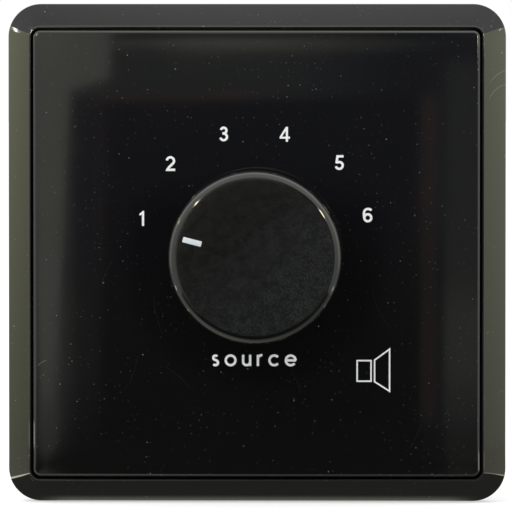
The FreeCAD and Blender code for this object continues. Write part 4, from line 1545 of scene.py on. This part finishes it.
def upper_glow(x, z):
    """Pale band along the plate's upper edge, a darker one below it, and the bright corner on the left."""
    across = spread(x, -0.022, -0.010, 0.62, 1.0) * spread(x, -0.008, 0.038, 1.0, 0.22)
    upper = spread(z, 0.0290, 0.0322, 0.0, 0.88) * across
    below = spread(z, 0.0204, 0.0234, 0.0, 0.28) * spread(x, 0.0, 0.030, 1.0, 0.50)
    corner = spread(x, -0.0272, -0.0252, 0.94, 0.0) * spread(x * -0.33 + z, 0.0336, 0.0354)
    return largest(upper, below, corner)


def dark_middle(x, z):
    """Nearly black middle, darkest round the knob's lower half."""
    shade = spread(distance(x, z + 0.006), 0.021, 0.026, 0.5, 0.0) * fading(z, 0.000, 0.010)
    return spread(z, -0.036, 0.024, 0.048, 0.112) * (1.0 - shade)


def thin_rails(x, z):
    """Thin lines on three sides of the dark middle."""
    inside = spread(z, -0.038, -0.034) * fading(z, 0.0222, 0.0232)
    right = near_to(x, 0.0310, 0.0009) * inside
    left = near_to(x, -0.0281, 0.0005) * inside * spread(z, -0.026, 0.004, 0.0, 0.9)
    top = near_to(x * -0.02 + z, 0.0229, 0.0005) * spread(x, -0.0287, -0.0280) * fading(x, -0.004, 0.006)
    return largest(right, left, top)


LOW_GREY = (0.98, 0.98, 1.0)
HIGH_BLUE = (0.90, 0.94, 1.14)
PALE_OLIVE = (0.99, 1.03, 0.87)
RAIL_RED = (1.35, 0.86, 0.72)
CARD_SHIFT = 2.6 * MM


def front_card_tones(x, y, z):
    """Dark middle with paler strips at its edges: what the polished plate shows."""
    on_floor = fading(z, -0.039, -0.037)
    ground = floor_tones(x, y) * on_floor
    x = x + CARD_SHIFT
    bright = largest(left_glow(x, y, z), right_glow(x, y, z), upper_glow(x, z))
    rails = thin_rails(x, z)
    tint = blend(spread(z, -0.025, 0.010), LOW_GREY, HIGH_BLUE)
    tint = blend(largest(spread(bright, 0.10, 0.4), on_floor), tint, PALE_OLIVE)
    tint = blend(rails * 0.7, tint, RAIL_RED)
    return tint, largest(bright, dark_middle(x, z), ground) + rails * 0.07


def floor_strip_tones(x, y, z):
    """The floor's strips beyond the card's sides."""
    return (1.0, 1.0, 0.76), floor_tones(x, y)


def side_panel_tones(x, y, z):
    """Olive panels that are brighter towards their tops."""
    tint = blend(spread(x, -0.1, 0.1), (0.98, 1.01, 0.69), (1.06, 1.10, 0.82))
    return tint, spread(z, -0.040, 0.036, 0.68, 1.26, smooth=False)


def top_panel_tones(x, y, z):
    """Plain panel, a little dimmer at both ends of the frame's upper band."""
    return (0.98, 1.0, 0.97), spread(x, -0.045, -0.012, 0.67, 0.79) * spread(x, 0.005, 0.050, 1.0, 0.92)


def tent_tones(x, y, z):
    """Warm walls that are brighter towards the top and near the object."""
    height = spread(z, -0.12, 0.18, 0.85, 2.4, smooth=False)
    return (1.0, 1.0, 0.93), height * spread(y, -0.12, -0.02, 1.0, 1.4)


def build_front_card():
    """Dark card in front of the object, bent on to the floor, and strips of floor beside it."""
    low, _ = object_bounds()
    ground = low.z - CARD_GAP
    near, far = -0.5 * MM, -0.16
    half, top = 0.075, 0.062
    bend = 0.012
    side_view = [(near, ground), (far + bend, ground), (far + bend / 4, ground + bend / 3),
                 (far, ground + bend), (far, top)]
    rows = [[(x, y, z) for x in (-half, half)] for y, z in side_view]
    reflected_piece("front_card", rows, front_card_tones)
    strip_sides = (0.041, 0.172)
    strip_back = 0.08
    for name, side in (("left_strip", -1), ("right_strip", 1)):
        rows = [[(side * x, y, ground) for x in strip_sides] for y in (near, strip_back)]
        reflected_piece(name, rows, floor_strip_tones)


def build_side_panels():
    """Panels beside and above the object, a little behind its front, that its sloped bands show."""
    aside, side_half, top_half = 0.17, 0.0765, 0.55
    near, side_far, top_far = 0.035, 0.115, 0.30
    for name, side in (("left_panel", -1), ("right_panel", 1)):
        rows = [[(side * aside, y, z) for z in (-side_half, side_half)] for y in (near, side_far)]
        reflected_piece(name, rows, side_panel_tones)
    rows = [[(x, y, aside) for x in (-top_half, top_half)] for y in (near, top_far)]
    reflected_piece("top_panel", rows, top_panel_tones)


def build_light_tent():
    """Bright walls round the object's front, open below, that rounded edges and the knob's shoulder show."""
    rear_rim, front_rim = (0.30, -0.05), (0.14, 0.26)
    turns = range(-116, 117, 8)
    rows = [[at(*clock(math.radians(turn), radius), level) for turn in turns]
            for radius, level in (rear_rim, front_rim)]
    reflected_piece("light_tent", rows, tent_tones)


# Small bright lamps that only reflections show. Each stands where one point of a round or sloped edge
# mirrors it: the edge's centre (x, z), the point's distance from it and its level in millimetres, its clock
# angle and the tilt of its face from the front, the lamp's width and height as seen from there, all in
# degrees, its distance in millimetres, its strength and its tint.
WARM_LAMP = (1.0, 0.88, 0.58)
WHITE_LAMP = (1.0, 0.98, 0.92)
SPARKS = {
    "spark_upper_right": (0.0, 0.0, 12.75, 23.5, 56.6, 16.5, 4.2, 13.0, 120.0, 40.0, WARM_LAMP),
    "spark_upper_left": (0.0, 0.0, 12.5, 23.5, 313.2, 12.5, 1.5, 14.0, 145.0, 60.0, WARM_LAMP),
    "spark_left": (0.0, 0.0, 13.3, 23.1, 295.0, 42.0, 2.4, 8.0, 120.0, 24.0, WARM_LAMP),
    "spark_low_left": (0.0, 0.0, 13.4, 23.0, 249.0, 47.0, 3.5, 18.0, 70.0, 7.0, WHITE_LAMP),
    "spark_low_right": (0.0, 0.0, 13.3, 23.1, 112.0, 44.0, 4.0, 18.0, 80.0, 6.0, WHITE_LAMP),
    "streak_upper_left": (-34.7, 34.7, 3.95, 4.07, 286.0, 56.7, 6.5, 0.95, 120.0, 18.0, WHITE_LAMP),
    "streak_upper_right": (34.7, 34.7, 4.6, 3.07, 75.0, 56.7, 3.5, 0.16, 120.0, 18.0, WHITE_LAMP),
}


def build_spark(name, centre_x, centre_z, reach, level, turn, tilt, wide, high, away, strength, tint):
    """One small lamp, set where the camera sees it mirrored in its point."""
    turn = math.radians(turn)
    tilt = math.radians(tilt)
    x, z = clock(turn, reach * MM)
    point = at(centre_x * MM + x, centre_z * MM + z, level * MM)
    normal = at(*clock(turn, math.sin(tilt)), math.cos(tilt))
    view = (bpy.context.scene.camera.location - point).normalized()
    way = 2 * view.dot(normal) * normal - view
    sideways = Vector((math.cos(turn), 0.0, -math.sin(turn)))
    outwards = way.cross(sideways)
    half_wide, half_high = (away * MM * math.tan(math.radians(size / 2)) for size in (wide, high))
    middle = point + way * away * MM
    rows = [[middle + sideways * half_wide * i + outwards * half_high * j for i in (-1, 1)] for j in (-1, 1)]
    reflected_piece(name, rows, (tint, strength))


def build_sparks():
    """Small lamps that give the knob's shoulder and the frame's corners their bright points."""
    for name, values in SPARKS.items():
        build_spark(name, *values)


def build_key_light(scene):
    """Soft lamp above and to the left of the camera."""
    light = bpy.data.lights.new("key", "AREA")
    light.shape = "SQUARE"
    light.size = LAMP_SIZE
    light.energy = scene.selector_stage.key_power
    lamp = linked_object("key", light)
    lamp.location = LAMP_PLACE
    lamp.rotation_euler = (-lamp.location).to_track_quat("-Z", "Y").to_euler()


def build_camera(scene):
    """Long lens in front of the knob, a little above it, framed like the photograph."""
    stage = scene.selector_stage
    pixel = 2 * half_width("cover_frame") / stage.pixels_across
    data = bpy.data.cameras.new("camera")
    data.sensor_width = SENSOR_WIDTH
    data.lens = SENSOR_WIDTH * stage.distance / (IMAGE_SIZE * pixel)
    data.clip_start, data.clip_end = CLIP_RANGE
    camera = linked_object("camera", data)
    flat = math.cos(stage.elevation)
    back = Vector((math.sin(stage.azimuth) * flat, -math.cos(stage.azimuth) * flat,
                   math.sin(stage.elevation)))
    right = (IMAGE_SIZE / 2 - stage.centre_column) * pixel
    up = (stage.centre_row - IMAGE_SIZE / 2) * pixel
    camera.location = Vector((right, 0.0, up)) + back * stage.distance
    camera.rotation_mode = "QUATERNION"
    camera.rotation_quaternion = (-back).to_track_quat("-Z", "Y")
    scene.camera = camera


# Panel and run

STEPS = (SELECTOR_OT_cover_frame, SELECTOR_OT_centre_plate, SELECTOR_OT_dial_print, SELECTOR_OT_knob,
         SELECTOR_OT_terminal_blocks, SELECTOR_OT_terminal_screws, SELECTOR_OT_board_tracks,
         SELECTOR_OT_solder_joints, SELECTOR_OT_carried_parts, SELECTOR_OT_stage)

SETTINGS = {
    "selector_cover_frame": CoverFrameSettings,
    "selector_centre_plate": CentrePlateSettings,
    "selector_print": PrintSettings,
    "selector_knob": KnobSettings,
    "selector_terminals": TerminalSettings,
    "selector_finishes": FinishSettings,
    "selector_stage": StageSettings,
}


class SELECTOR_PT_panel(bpy.types.Panel):
    """Buttons that build the pieces in order, with their sizes and colours below"""
    bl_label = "Audio source selector"
    bl_idname = "SELECTOR_PT_panel"
    bl_space_type = "VIEW_3D"
    bl_region_type = "UI"
    bl_category = "Selector"

    def draw(self, context):
        for step in STEPS:
            self.layout.operator(step.bl_idname)
        for name, group in SETTINGS.items():
            box = self.layout.box()
            for item in group.__annotations__:
                box.prop(getattr(context.scene, name), item)


def register():
    """Registers the settings, the operators and the panel."""
    for group in SETTINGS.values():
        bpy.utils.register_class(group)
    for name, group in SETTINGS.items():
        setattr(bpy.types.Scene, name, PointerProperty(type=group))
    for step in STEPS:
        bpy.utils.register_class(step)
    bpy.utils.register_class(SELECTOR_PT_panel)


def unregister():
    """Takes everything away that register added."""
    bpy.utils.unregister_class(SELECTOR_PT_panel)
    for step in reversed(STEPS):
        bpy.utils.unregister_class(step)
    for name, group in SETTINGS.items():
        delattr(bpy.types.Scene, name)
        bpy.utils.unregister_class(group)


def main():
    """Builds everything in order."""
    register()
    for step in STEPS:
        area, name = step.bl_idname.split(".")
        getattr(getattr(bpy.ops, area), name)()


if __name__ == "__main__":
    main()
